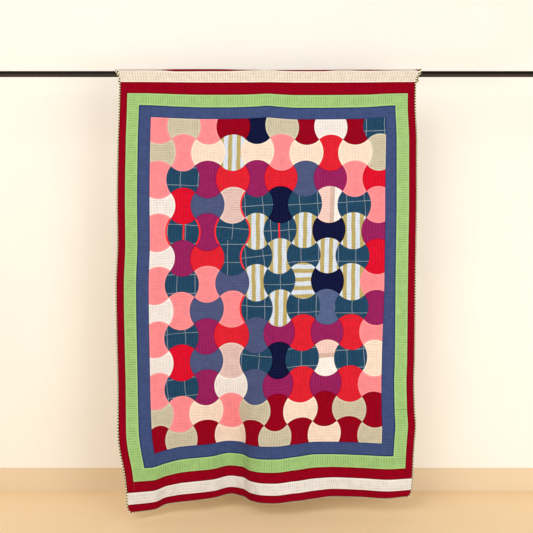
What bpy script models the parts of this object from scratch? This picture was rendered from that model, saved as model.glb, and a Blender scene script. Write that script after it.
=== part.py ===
"""Ralli quilt hung over a bar: one closed solid for each piece that is cut, sewn on or fitted.

The frame is in metres. The origin is at the middle of the bar's axis, +X runs to the viewer's right,
+Z is up and the quilt's front faces -Y. A place on the cloth is given by two flat distances: `across`,
from the quilt's centre line, and `drop`, down the front from the level of the bar's axis. Drop is
negative over the bar and down the back.
"""

from math import cos, pi, sin, sqrt
from typing import NamedTuple

import bpy
from mathutils import Vector

MM = 0.001

# Cloth and sewing.
CLOTH_THICKNESS = 4.0 * MM
PIECE_GAP = 0.4 * MM

# Bar, plain behind the cloth and bare at both ends.
BAR_LENGTH = 2700 * MM
BAR_DEPTH = 34 * MM
BAR_HEIGHT = 24 * MM
BAR_CROWN_POWER = 2.5
BAR_CROWN_STEPS = 14
BAR_CHAMFER = 1.5 * MM
GROOVE_TOP = -3.2 * MM
GROOVE_HEIGHT = 2.6 * MM
GROOVE_DEPTH = 1.5 * MM
GROOVE_SLOPE = 0.5 * MM

# The cloth's midline over the bar is half of a superellipse.
ARCH_HALF_DEPTH = 21.7 * MM
ARCH_HEIGHT = 14.6 * MM
ARCH_POWER = 3.0
ARCH_SAMPLES = 240
ARCH_ROWS = 14
BACK_FLAP_LENGTH = 33 * MM

# Flat half widths from the centre line to the two side edges.
LEFT_HALF = 721.5 * MM
RIGHT_HALF = 716.5 * MM

# Border strips, counted inwards from each side edge.
LEFT_MAROON = 34.5 * MM
LEFT_GREEN = 58 * MM
LEFT_BLUE = 60 * MM
RIGHT_MAROON = 34 * MM
RIGHT_GREEN = 60 * MM
RIGHT_BLUE = 54 * MM

# Seams that run across, by drop.
TOP_SEAM_TO_CREST = 20 * MM
DROP_CREAM_MAROON = 46 * MM
DROP_MAROON_GREEN = 100 * MM
DROP_GREEN_BLUE = 157 * MM
DROP_PANEL_TOP = 214 * MM
DROP_PANEL_BOTTOM = 1795 * MM
DROP_BLUE_GREEN = 1856 * MM
DROP_GREEN_MAROON = 1918 * MM
DROP_MAROON_CREAM = 1969 * MM
DROP_CREAM_END = 2025 * MM
DROP_HEM = 2061 * MM

PANEL_COLUMNS = 32
PANEL_ROWS = 24

# The two hem corners are cut back along the hem to round them.
CORNER_CUT = 14 * MM
CORNER_ROWS = 3

# Piping: a D-shaped tube round the whole edge, wider where it turns over the bar.
PIPING_FRONT = 3.4 * MM
PIPING_REACH = 5.0 * MM
PIPING_HEM_REACH = 2.6 * MM
PIPING_FOLD_REACH = 14 * MM
PIPING_FOLD_SPAN = 45 * MM
PIPING_FOLD_TO_CREST = 12 * MM

NORMAL_STEP = 1.0 * MM
WIDTH_STEPS = 120


class EdgeRow(NamedTuple):
    """One level of the hanging cloth, in millimetres.

    `left` and `right` are how far the two side edges hang from the middle plane, `centre` is where the
    cloth's centre line hangs, and `inner` is how far the right blue strip is sewn further in.
    """

    drop: float
    left: float
    right: float
    centre: float
    inner: float


EDGE_ROWS = [
    EdgeRow(drop=-100, left=726, right=736, centre=0, inner=-6),
    EdgeRow(drop=-10, left=723, right=731, centre=0, inner=-6),
    EdgeRow(drop=46, left=713, right=715, centre=0, inner=-6),
    EdgeRow(drop=157, left=715, right=713, centre=0, inner=-6),
    EdgeRow(drop=327, left=721, right=720, centre=0, inner=-3),
    EdgeRow(drop=618, left=725, right=720, centre=0, inner=1),
    EdgeRow(drop=810, left=723, right=717, centre=0, inner=0),
    EdgeRow(drop=1010, left=730, right=714, centre=0, inner=0),
    EdgeRow(drop=1393, left=722, right=710, centre=-3, inner=9),
    EdgeRow(drop=1490, left=719, right=707, centre=-6, inner=8),
    EdgeRow(drop=1640, left=709, right=711, centre=-13, inner=8),
    EdgeRow(drop=1710, left=703, right=716, centre=-20, inner=7),
    EdgeRow(drop=1780, left=691, right=711, centre=-22, inner=4),
    EdgeRow(drop=1870, left=672, right=705, centre=-22, inner=2),
    EdgeRow(drop=1970, left=661, right=701, centre=-22, inner=0),
    EdgeRow(drop=2061, left=656, right=693, centre=-22, inner=0),
]


class FoldRow(NamedTuple):
    """One line down the cloth, in millimetres.

    `lift` is how far the cloth rises off the bar's top and `seam` how far down the front the top seam is
    sewn from its usual place. `sag` is how much lower the border hangs under the bar, `dip` how much
    longer the cloth is at the hem and `rise` how much the end band narrows there.
    `mid`, `low` and `hem` are how far the folds stand forward at the levels of FOLD_DROPS.
    """

    across: float
    lift: float
    seam: float
    sag: float
    dip: float
    rise: float
    mid: float
    low: float
    hem: float


FOLD_DROPS = [300, 1450, 1800, 2060]

FOLD_ROWS = [
    FoldRow(across=-722, lift=0.5, seam=-1, sag=0, dip=38, rise=0, mid=10, low=98, hem=96),
    FoldRow(across=-600, lift=1.0, seam=-1, sag=1, dip=38, rise=1, mid=9, low=76, hem=54),
    FoldRow(across=-520, lift=1.8, seam=1, sag=4, dip=27, rise=2, mid=4, low=38, hem=6),
    FoldRow(across=-440, lift=4.0, seam=6.5, sag=8, dip=18, rise=1, mid=-1, low=2, hem=0),
    FoldRow(across=-300, lift=4.5, seam=6, sag=12, dip=14, rise=3, mid=-12, low=-34, hem=-34),
    FoldRow(across=-200, lift=3.5, seam=5.5, sag=12, dip=7, rise=3, mid=-22, low=-72, hem=-76),
    FoldRow(across=-145, lift=2.0, seam=3.5, sag=11, dip=7, rise=0, mid=-19, low=-58, hem=-54),
    FoldRow(across=-60, lift=0.5, seam=-1, sag=8, dip=12, rise=0, mid=0, low=2, hem=10),
    FoldRow(across=0, lift=0.0, seam=-7, sag=4, dip=12, rise=0, mid=12, low=24, hem=40),
    FoldRow(across=60, lift=0.0, seam=2, sag=9, dip=11, rise=0, mid=15, low=28, hem=48),
    FoldRow(across=150, lift=0.0, seam=4.4, sag=14, dip=3, rise=0, mid=9, low=14, hem=40),
    FoldRow(across=260, lift=0.5, seam=4.6, sag=14, dip=1, rise=0, mid=-3, low=-28, hem=2),
    FoldRow(across=350, lift=1.0, seam=0, sag=13, dip=0, rise=0, mid=-8, low=-24, hem=-24),
    FoldRow(across=470, lift=1.5, seam=3, sag=11, dip=0, rise=2, mid=-3, low=-8, hem=-10),
    FoldRow(across=600, lift=0.5, seam=0, sag=3, dip=2, rise=3, mid=2, low=6, hem=10),
    FoldRow(across=690, lift=0.7, seam=-2, sag=1, dip=1, rise=6, mid=-2, low=-4, hem=-5),
    FoldRow(across=717, lift=3.0, seam=5, sag=0, dip=0, rise=3, mid=-4, low=-7, hem=-10),
]

SAG_PEAK_DROP = 160 * MM
SAG_END_DROP = 560 * MM
DIP_START_DROP = 420 * MM
DIP_FULL_DROP = 1350 * MM
TOP_SEAM_REACH = 40 * MM
INNER_SEAM_SPAN = 190 * MM


class Finish(NamedTuple):
    """A plain colour and surface for one piece."""

    red: float
    green: float
    blue: float
    roughness: float


FINISHES = {
    "dark_wood": Finish(0.028, 0.018, 0.013, 0.45),
    "patchwork": Finish(0.52, 0.24, 0.26, 0.90),
    "blue_cotton": Finish(0.056, 0.087, 0.250, 0.90),
    "green_cotton": Finish(0.392, 0.610, 0.195, 0.90),
    "maroon_cotton": Finish(0.290, 0.001, 0.012, 0.90),
    "cream_cotton": Finish(0.870, 0.760, 0.640, 0.90),
    "piping_cotton": Finish(0.330, 0.360, 0.160, 0.85),
}


def smooth_step(value: float) -> float:
    """Ease from 0 to 1 as the value goes from 0 to 1."""
    value = min(max(value, 0.0), 1.0)
    return value * value * (3.0 - 2.0 * value)


def curve_through(places: list, values: list, place: float) -> float:
    """Value at `place` on a smooth curve through the points that never overshoots them."""
    if place <= places[0]:
        return values[0]
    if place >= places[-1]:
        return values[-1]
    slopes = [(values[i + 1] - values[i]) / (places[i + 1] - places[i]) for i in range(len(places) - 1)]
    index = max(i for i in range(len(slopes)) if places[i] <= place)
    ends = []
    for i in (index, index + 1):
        before = slopes[max(i - 1, 0)]
        after = slopes[min(i, len(slopes) - 1)]
        turns = before * after <= 0.0
        ends.append(0.0 if turns else 2.0 * before * after / (before + after))
    span = places[index + 1] - places[index]
    t = (place - places[index]) / span
    start_share = (1.0 + 2.0 * t) * (1.0 - t) ** 2
    end_share = t * t * (3.0 - 2.0 * t)
    bend = t * (1.0 - t) * span * ((1.0 - t) * ends[0] - t * ends[1])
    return start_share * values[index] + end_share * values[index + 1] + bend


def edge_value(column: str, drop: float) -> float:
    """Read one column of EDGE_ROWS at a drop, both in metres."""
    places = [row.drop for row in EDGE_ROWS]
    values = [getattr(row, column) for row in EDGE_ROWS]
    return curve_through(places, values, drop / MM) * MM


def fold_value(column: str, across: float) -> float:
    """Read one column of FOLD_ROWS at a place across, both in metres."""
    places = [row.across for row in FOLD_ROWS]
    values = [getattr(row, column) for row in FOLD_ROWS]
    return curve_through(places, values, across / MM) * MM


def superellipse_point(share: float, half_depth: float, height: float, power: float) -> tuple:
    """Point of the upper half of a superellipse, from the front (share 0) over the top to the back."""
    lean = -cos(pi * share)
    rise = abs(sin(pi * share))
    side = 1.0 if lean > 0.0 else -1.0
    return side * half_depth * abs(lean) ** (2.0 / power), height * rise ** (2.0 / power)


def arch_table() -> list:
    """Distance along the arch with the midline's depth and height, from the front to the back."""
    rows = []
    distance = 0.0
    previous = superellipse_point(0.0, ARCH_HALF_DEPTH, ARCH_HEIGHT, ARCH_POWER)
    for step in range(ARCH_SAMPLES + 1):
        point = superellipse_point(step / ARCH_SAMPLES, ARCH_HALF_DEPTH, ARCH_HEIGHT, ARCH_POWER)
        distance += sqrt((point[0] - previous[0]) ** 2 + (point[1] - previous[1]) ** 2)
        rows.append((distance, point[0], point[1]))
        previous = point
    return rows


ARCH_TABLE = arch_table()
ARCH_LENGTH = ARCH_TABLE[-1][0]
DROP_TOP_SEAM = TOP_SEAM_TO_CREST - ARCH_LENGTH / 2
DROP_BACK_EDGE = -ARCH_LENGTH - BACK_FLAP_LENGTH


def profile(drop: float) -> tuple:
    """Depth and height of the cloth's midline at a drop, before folds."""
    if drop >= 0.0:
        return -ARCH_HALF_DEPTH, -drop
    if drop <= -ARCH_LENGTH:
        return ARCH_HALF_DEPTH, drop + ARCH_LENGTH
    for low, high in zip(ARCH_TABLE, ARCH_TABLE[1:]):
        if high[0] >= -drop:
            t = (-drop - low[0]) / (high[0] - low[0])
            return low[1] + t * (high[1] - low[1]), low[2] + t * (high[2] - low[2])
    return ARCH_HALF_DEPTH, 0.0


def forward(across: float, drop: float) -> float:
    """How far the folds stand out in front of the flat hanging cloth."""
    heights = [0.0] + [fold_value(column, across) for column in ("mid", "low", "hem")]
    return curve_through(FOLD_DROPS, heights, drop / MM)


ROW_CACHE = {}


def width_row(drop: float) -> list:
    """Places across at one drop with the X at which they hang.

    The cloth keeps its flat width where it bends round a fold, so a deep fold draws the sides in. What
    is left over to the measured edges is spread evenly.
    """
    key = round(drop, 7)
    if key in ROW_CACHE:
        return ROW_CACHE[key]
    centre = edge_value("centre", drop)
    row = [(0.0, centre)]
    for side, half, edge in ((-1, LEFT_HALF, "left"), (1, RIGHT_HALF, "right")):
        step = half / WIDTH_STEPS
        depths = [forward(side * i * step, drop) for i in range(WIDTH_STEPS + 1)]
        spans = [0.0]
        for near, far in zip(depths, depths[1:]):
            spans.append(spans[-1] + sqrt(max(step ** 2 - (far - near) ** 2, (0.2 * step) ** 2)))
        reach = edge_value(edge, drop) - side * centre
        for i in range(1, WIDTH_STEPS + 1):
            row.append((side * i * step, centre + side * spans[i] * reach / spans[-1]))
    row.sort()
    ROW_CACHE[key] = row
    return row


def hang_x(across: float, drop: float) -> float:
    """X at which a place across hangs at a drop."""
    row = width_row(drop)
    side = -1 if across < 0.0 else 1
    half = LEFT_HALF if side < 0 else RIGHT_HALF
    share = min(abs(across) / half, 1.0) * WIDTH_STEPS
    index = WIDTH_STEPS + side * min(int(share), WIDTH_STEPS - 1)
    near, far = row[index], row[index + side]
    t = (across - near[0]) / (far[0] - near[0])
    return near[1] + t * (far[1] - near[1])


def sewn_across(across: float, drop: float) -> float:
    """Place across, shifted near the right blue strip's inner seam to where it is sewn."""
    seam = RIGHT_HALF - RIGHT_MAROON - RIGHT_GREEN - RIGHT_BLUE
    span = RIGHT_BLUE if across > seam else INNER_SEAM_SPAN
    share = smooth_step(1.0 - abs(across - seam) / span)
    return across - edge_value("inner", drop) * share if share > 0.0 else across


def cloth_point(across: float, drop: float) -> Vector:
    """Point of the cloth's midline surface."""
    across = sewn_across(across, drop)
    lift = fold_value("lift", across)
    near_seam = smooth_step(1.0 - abs(drop - DROP_TOP_SEAM) / TOP_SEAM_REACH)
    y, z = profile(drop + fold_value("seam", across) * near_seam)
    if z > 0.0:
        z *= 1.0 + lift / ARCH_HEIGHT
    if drop > 0.0:
        swing = smooth_step(drop / SAG_PEAK_DROP) * smooth_step(
            (SAG_END_DROP - drop) / (SAG_END_DROP - SAG_PEAK_DROP))
        longer = smooth_step((drop - DIP_START_DROP) / (DIP_FULL_DROP - DIP_START_DROP))
        hem_share = min(max((drop - DROP_CREAM_END) / (DROP_HEM - DROP_CREAM_END), 0.0), 1.2)
        z -= fold_value("sag", across) * swing
        z -= fold_value("dip", across) * longer
        z += fold_value("rise", across) * hem_share
        y -= forward(across, drop)
    return Vector((hang_x(across, drop), y, z))


def cloth_normal(across: float, drop: float) -> Vector:
    """Unit normal of the cloth, out of its front."""
    inner = min(max(across, -LEFT_HALF + NORMAL_STEP), RIGHT_HALF - NORMAL_STEP)
    along = cloth_point(inner + NORMAL_STEP, drop) - cloth_point(inner - NORMAL_STEP, drop)
    down = cloth_point(inner, drop + NORMAL_STEP) - cloth_point(inner, drop - NORMAL_STEP)
    return down.cross(along).normalized()


def corner_cut(drop: float) -> float:
    """How far the side edges are cut back at a drop to round the hem corners."""
    share = (drop - DROP_CREAM_END) / (DROP_HEM - DROP_CREAM_END)
    return CORNER_CUT * min(max(share, 0.0), 1.0) ** 3


def edge_across(across: float, drop: float) -> float:
    """Place across, drawn in where it lies in a rounded hem corner."""
    cut = corner_cut(drop)
    left = -LEFT_HALF + PIECE_GAP / 2
    right = RIGHT_HALF - PIECE_GAP / 2
    corner = LEFT_MAROON
    if across < left + corner:
        return across + cut * (left + corner - across) / corner
    if across > right - corner:
        return across - cut * (across - right + corner) / corner
    return across


def make_material(name: str) -> bpy.types.Material:
    """Plain Principled material for one finish, made once."""
    if name in bpy.data.materials:
        return bpy.data.materials[name]
    finish = FINISHES[name]
    material = bpy.data.materials.new(name)
    material.use_nodes = True
    shader = material.node_tree.nodes["Principled BSDF"]
    shader.inputs["Base Color"].default_value = (finish.red, finish.green, finish.blue, 1.0)
    shader.inputs["Roughness"].default_value = finish.roughness
    shader.inputs["Metallic"].default_value = 0.0
    return material


def add_object(name: str, points: list, faces: list, smooth_faces: set, finish: str) -> None:
    """Add one closed mesh as a named object."""
    mesh = bpy.data.meshes.new(name)
    mesh.from_pydata([tuple(point) for point in points], [], faces)
    mesh.polygons.foreach_set("use_smooth", [index in smooth_faces for index in range(len(faces))])
    mesh.materials.append(make_material(finish))
    mesh.update()
    bpy.context.scene.collection.objects.link(bpy.data.objects.new(name, mesh))


def inset_ends(lines: list) -> list:
    """Draw the first and last line in by half the gap between pieces."""
    step = PIECE_GAP / 2 if lines[-1] > lines[0] else -PIECE_GAP / 2
    return [lines[0] + step] + lines[1:-1] + [lines[-1] - step]


def add_sheet(name: str, across_lines: list, drop_lines: list, finish: str) -> None:
    """Add one piece of cloth between the first and last of its lines, with its full thickness."""
    columns = inset_ends(across_lines)
    rows = inset_ends(drop_lines)
    wide = len(columns)
    fronts = []
    backs = []
    for drop in rows:
        for across in columns:
            place = edge_across(across, drop)
            point = cloth_point(place, drop)
            half = cloth_normal(place, drop) * (CLOTH_THICKNESS / 2)
            fronts.append(point + half)
            backs.append(point - half)
    back_start = len(fronts)
    faces = []
    for r in range(len(rows) - 1):
        for c in range(wide - 1):
            a = r * wide + c
            corners = (a, a + wide, a + wide + 1, a + 1)
            faces.append(corners)
            faces.append(tuple(back_start + corner for corner in reversed(corners)))
    smooth_faces = set(range(len(faces)))
    rim = list(range(wide))
    rim += [r * wide + wide - 1 for r in range(1, len(rows))]
    rim += [(len(rows) - 1) * wide + c for c in range(wide - 2, -1, -1)]
    rim += [r * wide for r in range(len(rows) - 2, 0, -1)]
    for a, b in zip(rim, rim[1:] + rim[:1]):
        back_a, back_b = back_start + a, back_start + b
        if a < b:
            faces += [(a, b, back_b), (a, back_b, back_a)]
        else:
            faces += [(a, b, back_a), (b, back_b, back_a)]
    add_object(name, fronts + backs, faces, smooth_faces, finish)


def evenly(first: float, last: float, cells: int) -> list:
    """Evenly spaced lines from the first to the last."""
    return [first + (last - first) * i / cells for i in range(cells + 1)]


def add_bar() -> None:
    """Add the bar: flat below, crowned above, with a shallow groove along its front."""
    half_depth = BAR_DEPTH / 2
    bottom = -BAR_HEIGHT / 2
    groove_bottom = GROOVE_TOP - GROOVE_HEIGHT
    section = [
        (-half_depth + BAR_CHAMFER, bottom),
        (half_depth - BAR_CHAMFER, bottom),
        (half_depth, bottom + BAR_CHAMFER),
    ]
    crown_start = len(section)
    for step in range(BAR_CROWN_STEPS + 1):
        y, z = superellipse_point(1.0 - step / BAR_CROWN_STEPS, half_depth, BAR_HEIGHT / 2, BAR_CROWN_POWER)
        section.append((y, z))
    crown_end = len(section) - 1
    section += [
        (-half_depth, GROOVE_TOP),
        (-half_depth + GROOVE_DEPTH, GROOVE_TOP - GROOVE_SLOPE),
        (-half_depth + GROOVE_DEPTH, groove_bottom + GROOVE_SLOPE),
        (-half_depth, groove_bottom),
        (-half_depth, bottom + BAR_CHAMFER),
    ]
    count = len(section)
    points = [(x, y, z) for x in (-BAR_LENGTH / 2, BAR_LENGTH / 2) for y, z in section]
    faces = [(i, (i + 1) % count, count + (i + 1) % count, count + i) for i in range(count)]
    faces.append(tuple(reversed(range(count))))
    faces.append(tuple(range(count, 2 * count)))
    add_object("hanging_rod", points, faces, set(range(crown_start, crown_end)), "dark_wood")


def piping_reach(drop: float) -> float:
    """Width of the piping outside the cloth's edge."""
    fold = PIPING_FOLD_TO_CREST - ARCH_LENGTH / 2
    over_fold = smooth_step(1.0 - abs(drop - fold) / PIPING_FOLD_SPAN)
    at_hem = smooth_step((drop - DROP_CREAM_END) / (DROP_HEM - DROP_CREAM_END))
    plain = PIPING_REACH + (PIPING_HEM_REACH - PIPING_REACH) * at_hem
    return plain + (PIPING_FOLD_REACH - plain) * over_fold


def piping_path(across_lines: list, drop_lines: list) -> list:
    """Places round the cloth's edge: down the left, along the hem, up the right and along the back."""
    left = [(-LEFT_HALF + corner_cut(drop), drop) for drop in drop_lines]
    right = [(RIGHT_HALF - corner_cut(drop), drop) for drop in drop_lines]
    inner = across_lines[1:-1]
    hem = [(across, DROP_HEM) for across in inner]
    back = [(across, DROP_BACK_EDGE) for across in inner]
    return left + hem + right[::-1] + back[::-1]


def add_piping(across_lines: list, drop_lines: list) -> None:
    """Add the piping as one closed loop with the same section all the way round."""
    path = piping_path(across_lines, drop_lines)
    bases = [cloth_point(across, drop) for across, drop in path]
    normals = [cloth_normal(across, drop) for across, drop in path]
    count = len(path)
    points = []
    for i in range(count):
        arriving = (bases[i] - bases[i - 1]).normalized()
        leaving = (bases[(i + 1) % count] - bases[i]).normalized()
        along = (arriving + leaving).normalized()
        normal = (normals[i] - along * normals[i].dot(along)).normalized()
        outward = along.cross(normal).normalized()
        mitre = 1.0 / max(arriving.dot(along), 0.6)
        reach = piping_reach(path[i][1])
        section = [
            (0.8 * PIECE_GAP, -CLOTH_THICKNESS / 2),
            (0.60 * reach, -CLOTH_THICKNESS / 2),
            (reach, -0.10 * CLOTH_THICKNESS),
            (0.92 * reach, 0.45 * PIPING_FRONT),
            (0.50 * reach, PIPING_FRONT),
            (0.8 * PIECE_GAP, 0.72 * PIPING_FRONT),
        ]
        for out, up in section:
            points.append(bases[i] + outward * (out * mitre) + normal * up)
    size = 6
    faces = []
    for i in range(count):
        following = (i + 1) % count
        for k in range(size):
            after = (k + 1) % size
            faces.append((i * size + k, following * size + k, following * size + after, i * size + after))
    add_object("striped_piping", points, faces, set(range(len(faces))), "piping_cotton")


def build() -> None:
    """Build every piece of the hung quilt."""
    for item in list(bpy.data.objects):
        bpy.data.objects.remove(item)

    left = [-LEFT_HALF]
    for width in (LEFT_MAROON, LEFT_GREEN, LEFT_BLUE):
        left.append(left[-1] + width)
    right = [RIGHT_HALF]
    for width in (RIGHT_MAROON, RIGHT_GREEN, RIGHT_BLUE):
        right.append(right[-1] - width)
    panel_lines = evenly(left[3], right[3], PANEL_COLUMNS)
    all_across = left[:3] + panel_lines + right[2::-1]

    panel_drops = evenly(DROP_PANEL_TOP, DROP_PANEL_BOTTOM, PANEL_ROWS)
    cream_top_drops = evenly(DROP_TOP_SEAM, 0.0, 3) + [DROP_CREAM_MAROON / 2, DROP_CREAM_MAROON]
    end_top_drops = [DROP_BACK_EDGE] + evenly(-ARCH_LENGTH, DROP_TOP_SEAM, ARCH_ROWS - 3)
    corner_drops = evenly(DROP_CREAM_END, DROP_HEM, CORNER_ROWS)

    blue_drops = [DROP_GREEN_BLUE] + panel_drops + [DROP_BLUE_GREEN]
    green_drops = [DROP_MAROON_GREEN] + blue_drops + [DROP_GREEN_MAROON]
    maroon_drops = [DROP_CREAM_MAROON] + green_drops + [DROP_MAROON_CREAM]
    all_drops = end_top_drops + cream_top_drops[1:] + maroon_drops[1:] + corner_drops

    add_bar()
    add_sheet("patchwork_panel", panel_lines, panel_drops, "patchwork")

    frames = [
        ("blue", 2, blue_drops, "blue_cotton"),
        ("green", 1, green_drops, "green_cotton"),
        ("maroon", 0, maroon_drops, "maroon_cotton"),
    ]
    for colour, ring, drops, finish in frames:
        inner_lines = all_across[ring + 1:len(all_across) - ring - 1]
        add_sheet(f"{colour}_strip_left", [left[ring], left[ring + 1]], drops, finish)
        add_sheet(f"{colour}_strip_right", [right[ring + 1], right[ring]], drops, finish)
        add_sheet(f"{colour}_strip_top", inner_lines, drops[:2], finish)
        add_sheet(f"{colour}_strip_bottom", inner_lines, drops[-2:], finish)

    add_sheet("cream_band_top", all_across, cream_top_drops, "cream_cotton")
    add_sheet("cream_band_bottom", all_across, [DROP_MAROON_CREAM, DROP_CREAM_END], "cream_cotton")
    add_sheet("end_band_top", all_across, end_top_drops, "maroon_cotton")
    add_sheet("end_band_bottom", all_across, corner_drops, "maroon_cotton")
    add_piping(all_across, all_drops)


build()
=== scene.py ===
"""Ralli quilt hung over a bar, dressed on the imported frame.

The frame is in metres. The origin is at the middle of the bar's axis, +X runs to the viewer's right, +Z is
up and the quilt's front faces -Y. A place on the cloth is given by two flat distances: `across`, from the
quilt's centre line, and `drop`, down the front from the level of the bar's axis. Drop is negative over the
bar and down the back.
"""

import logging
import math
from dataclasses import dataclass, field, replace
from enum import Enum
from functools import partialmethod
from typing import NamedTuple, Sequence

import bpy
import numpy as np
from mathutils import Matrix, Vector


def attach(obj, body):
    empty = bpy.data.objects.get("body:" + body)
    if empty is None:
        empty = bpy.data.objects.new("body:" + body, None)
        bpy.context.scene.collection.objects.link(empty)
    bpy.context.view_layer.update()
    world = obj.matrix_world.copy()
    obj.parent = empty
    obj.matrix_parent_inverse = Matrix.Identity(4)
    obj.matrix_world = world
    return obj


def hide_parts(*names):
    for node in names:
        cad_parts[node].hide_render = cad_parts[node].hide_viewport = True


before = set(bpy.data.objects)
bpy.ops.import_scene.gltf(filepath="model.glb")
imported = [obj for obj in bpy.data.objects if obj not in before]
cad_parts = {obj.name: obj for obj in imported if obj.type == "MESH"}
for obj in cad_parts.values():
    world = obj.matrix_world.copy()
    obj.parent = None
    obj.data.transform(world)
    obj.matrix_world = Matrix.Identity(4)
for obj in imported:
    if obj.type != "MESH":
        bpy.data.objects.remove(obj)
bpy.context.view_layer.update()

LOG = logging.getLogger("quilt")
Array = np.ndarray
Colour = tuple[int, int, int]
Socket = bpy.types.NodeSocket

MM = 0.001

# Cloth and sewing, as on the frame.
CLOTH_THICKNESS = 4.0 * MM
PIECE_GAP = 0.2 * MM

# The cloth's midline over the bar is half of a superellipse.
ARCH_HALF_DEPTH = 21.7 * MM
ARCH_HEIGHT = 14.6 * MM
ARCH_POWER = 3.0
ARCH_SAMPLES = 240
BACK_FLAP_LENGTH = 33 * MM
QUILTING_TOP = -60 * MM
ROW_TURN = 80 * MM

# Flat half widths, and the border strips counted inwards from each side edge.
LEFT_HALF = 721.5 * MM
RIGHT_HALF = 716.5 * MM
LEFT_STRIPS = (34.5 * MM, 58 * MM, 60 * MM)
RIGHT_STRIPS = (34 * MM, 60 * MM, 54 * MM)
PANEL_LEFT = -LEFT_HALF + sum(LEFT_STRIPS)
PANEL_RIGHT = RIGHT_HALF - sum(RIGHT_STRIPS)
CUT_LEFT = PANEL_LEFT + PIECE_GAP / 2
CUT_RIGHT = PANEL_RIGHT - PIECE_GAP / 2

# Seams that run across, by drop.
TOP_SEAM_TO_CREST = 20 * MM
DROP_CREAM_MAROON = 46 * MM
DROP_MAROON_GREEN = 100 * MM
DROP_GREEN_BLUE = 157 * MM
DROP_PANEL_TOP = 214 * MM
DROP_PANEL_BOTTOM = 1795 * MM
DROP_BLUE_GREEN = 1856 * MM
DROP_GREEN_MAROON = 1918 * MM
DROP_MAROON_CREAM = 1969 * MM
DROP_CREAM_END = 2025 * MM
DROP_HEM = 2061 * MM
CUT_TOP = DROP_PANEL_TOP + PIECE_GAP / 2
CUT_BOTTOM = DROP_PANEL_BOTTOM - PIECE_GAP / 2

CORNER_CUT = 14 * MM
GREEN_JOIN_DROP = 1632 * MM
NORMAL_STEP = 1.0 * MM
WIDTH_STEPS = 120
LEAST_SPAN_SHARE = 0.2
HEM_OVERRUN = 1.2
HANG_STEP = 5 * MM

# A place that no seam is near, and how the rows of stitches are told which edge to follow.
FAR_FROM_SEAMS = 20 * MM
ROWS_FOLLOW_SIDE = 10.0
ROWS_FOLLOW_END = -10.0

SAG_PEAK_DROP = 160 * MM
SAG_END_DROP = 560 * MM
DIP_START_DROP = 420 * MM
DIP_FULL_DROP = 1350 * MM
TOP_SEAM_REACH = 40 * MM
INNER_SEAM_SPAN = 190 * MM


def read_table(kind: type, text: str) -> tuple:
    """Read a table of numbers whose first line names its columns.

    Args:
        kind: the named tuple that each row makes.
        text: the line of names and a line for each row.

    Returns:
        The rows, in order.
    """
    names, *rows = [line.split() for line in text.strip().splitlines()]
    numbers = [[float(cell) if "." in cell else int(cell) for cell in row] for row in rows]
    return tuple(kind(**dict(zip(names, row))) for row in numbers)


class EdgeRow(NamedTuple):
    """One level of the hanging cloth, in millimetres.

    `left` and `right` are how far the two side edges hang from the middle plane, `centre` is where the
    cloth's centre line hangs, and `inner` is how far the right blue strip is sewn further in.
    """

    drop: float
    left: float
    right: float
    centre: float
    inner: float


EDGE_ROWS = read_table(EdgeRow, """
    drop  left  right  centre  inner
    -100   726    736       0     -6
     -10   723    731       0     -6
      46   713    715       0     -6
     157   715    713       0     -6
     327   721    720       0     -3
     618   725    720       0      1
     810   723    717       0      0
    1010   730    714       0      0
    1393   722    710      -3      9
    1490   719    707      -6      8
    1640   709    711     -13      8
    1710   703    716     -20      7
    1780   691    711     -22      4
    1870   672    705     -22      2
    1970   661    701     -22      0
    2061   656    693     -22      0
""")


class FoldRow(NamedTuple):
    """One line down the cloth, in millimetres.

    `lift` is how far the cloth rises off the bar's top and `seam` how far down the front the top seam is
    sewn from its usual place. `sag` is how much lower the border hangs under the bar, `dip` how much
    longer the cloth is at the hem and `rise` how much the end band narrows there.
    `mid`, `low` and `hem` are how far the folds stand forward at the levels of FOLD_DROPS.
    """

    across: float
    lift: float
    seam: float
    sag: float
    dip: float
    rise: float
    mid: float
    low: float
    hem: float


FOLD_DROPS = (300.0, 1450.0, 1800.0, 2060.0)

FOLD_ROWS = read_table(FoldRow, """
    across  lift  seam  sag  dip  rise  mid  low  hem
      -722   0.5    -1    0   38     0   10   98   96
      -600   1.0    -1    1   38     1    9   76   54
      -520   1.8     1    4   27     2    4   38    6
      -440   4.0   6.5    8   18     1   -1    2    0
      -300   4.5     6   12   14     3  -12  -34  -34
      -200   3.5   5.5   12    7     3  -22  -72  -76
      -145   2.0   3.5   11    7     0  -19  -58  -54
       -60   0.5    -1    8   12     0    0    2   10
         0   0.0    -7    4   12     0   12   24   40
        60   0.0     2    9   11     0   15   28   48
       150   0.0   4.4   14    3     0    9   14   40
       260   0.5   4.6   14    1     0   -3  -28    2
       350   1.0     0   13    0     0   -8  -24  -24
       470   1.5     3   11    0     2   -3   -8  -10
       600   0.5     0    3    2     3    2    6   10
       690   0.7    -2    1    1     6   -2   -4   -5
       717   3.0     5    0    0     3   -4   -7  -10
""")


def add_to_scene(name: str, data: bpy.types.ID) -> bpy.types.Object:
    """Link a new object that holds the data."""
    item = bpy.data.objects.new(name, data)
    bpy.context.scene.collection.objects.link(item)
    return item


def smooth_step(value: Array) -> Array:
    """Ease from 0 to 1 as the value goes from 0 to 1."""
    value = np.clip(value, 0.0, 1.0)
    return value * value * (3.0 - 2.0 * value)


def pick(values: Array, index: Array) -> Array:
    """Take one item of the last axis for each index."""
    return np.take_along_axis(values, index[..., None], axis=-1)[..., 0]


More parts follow.
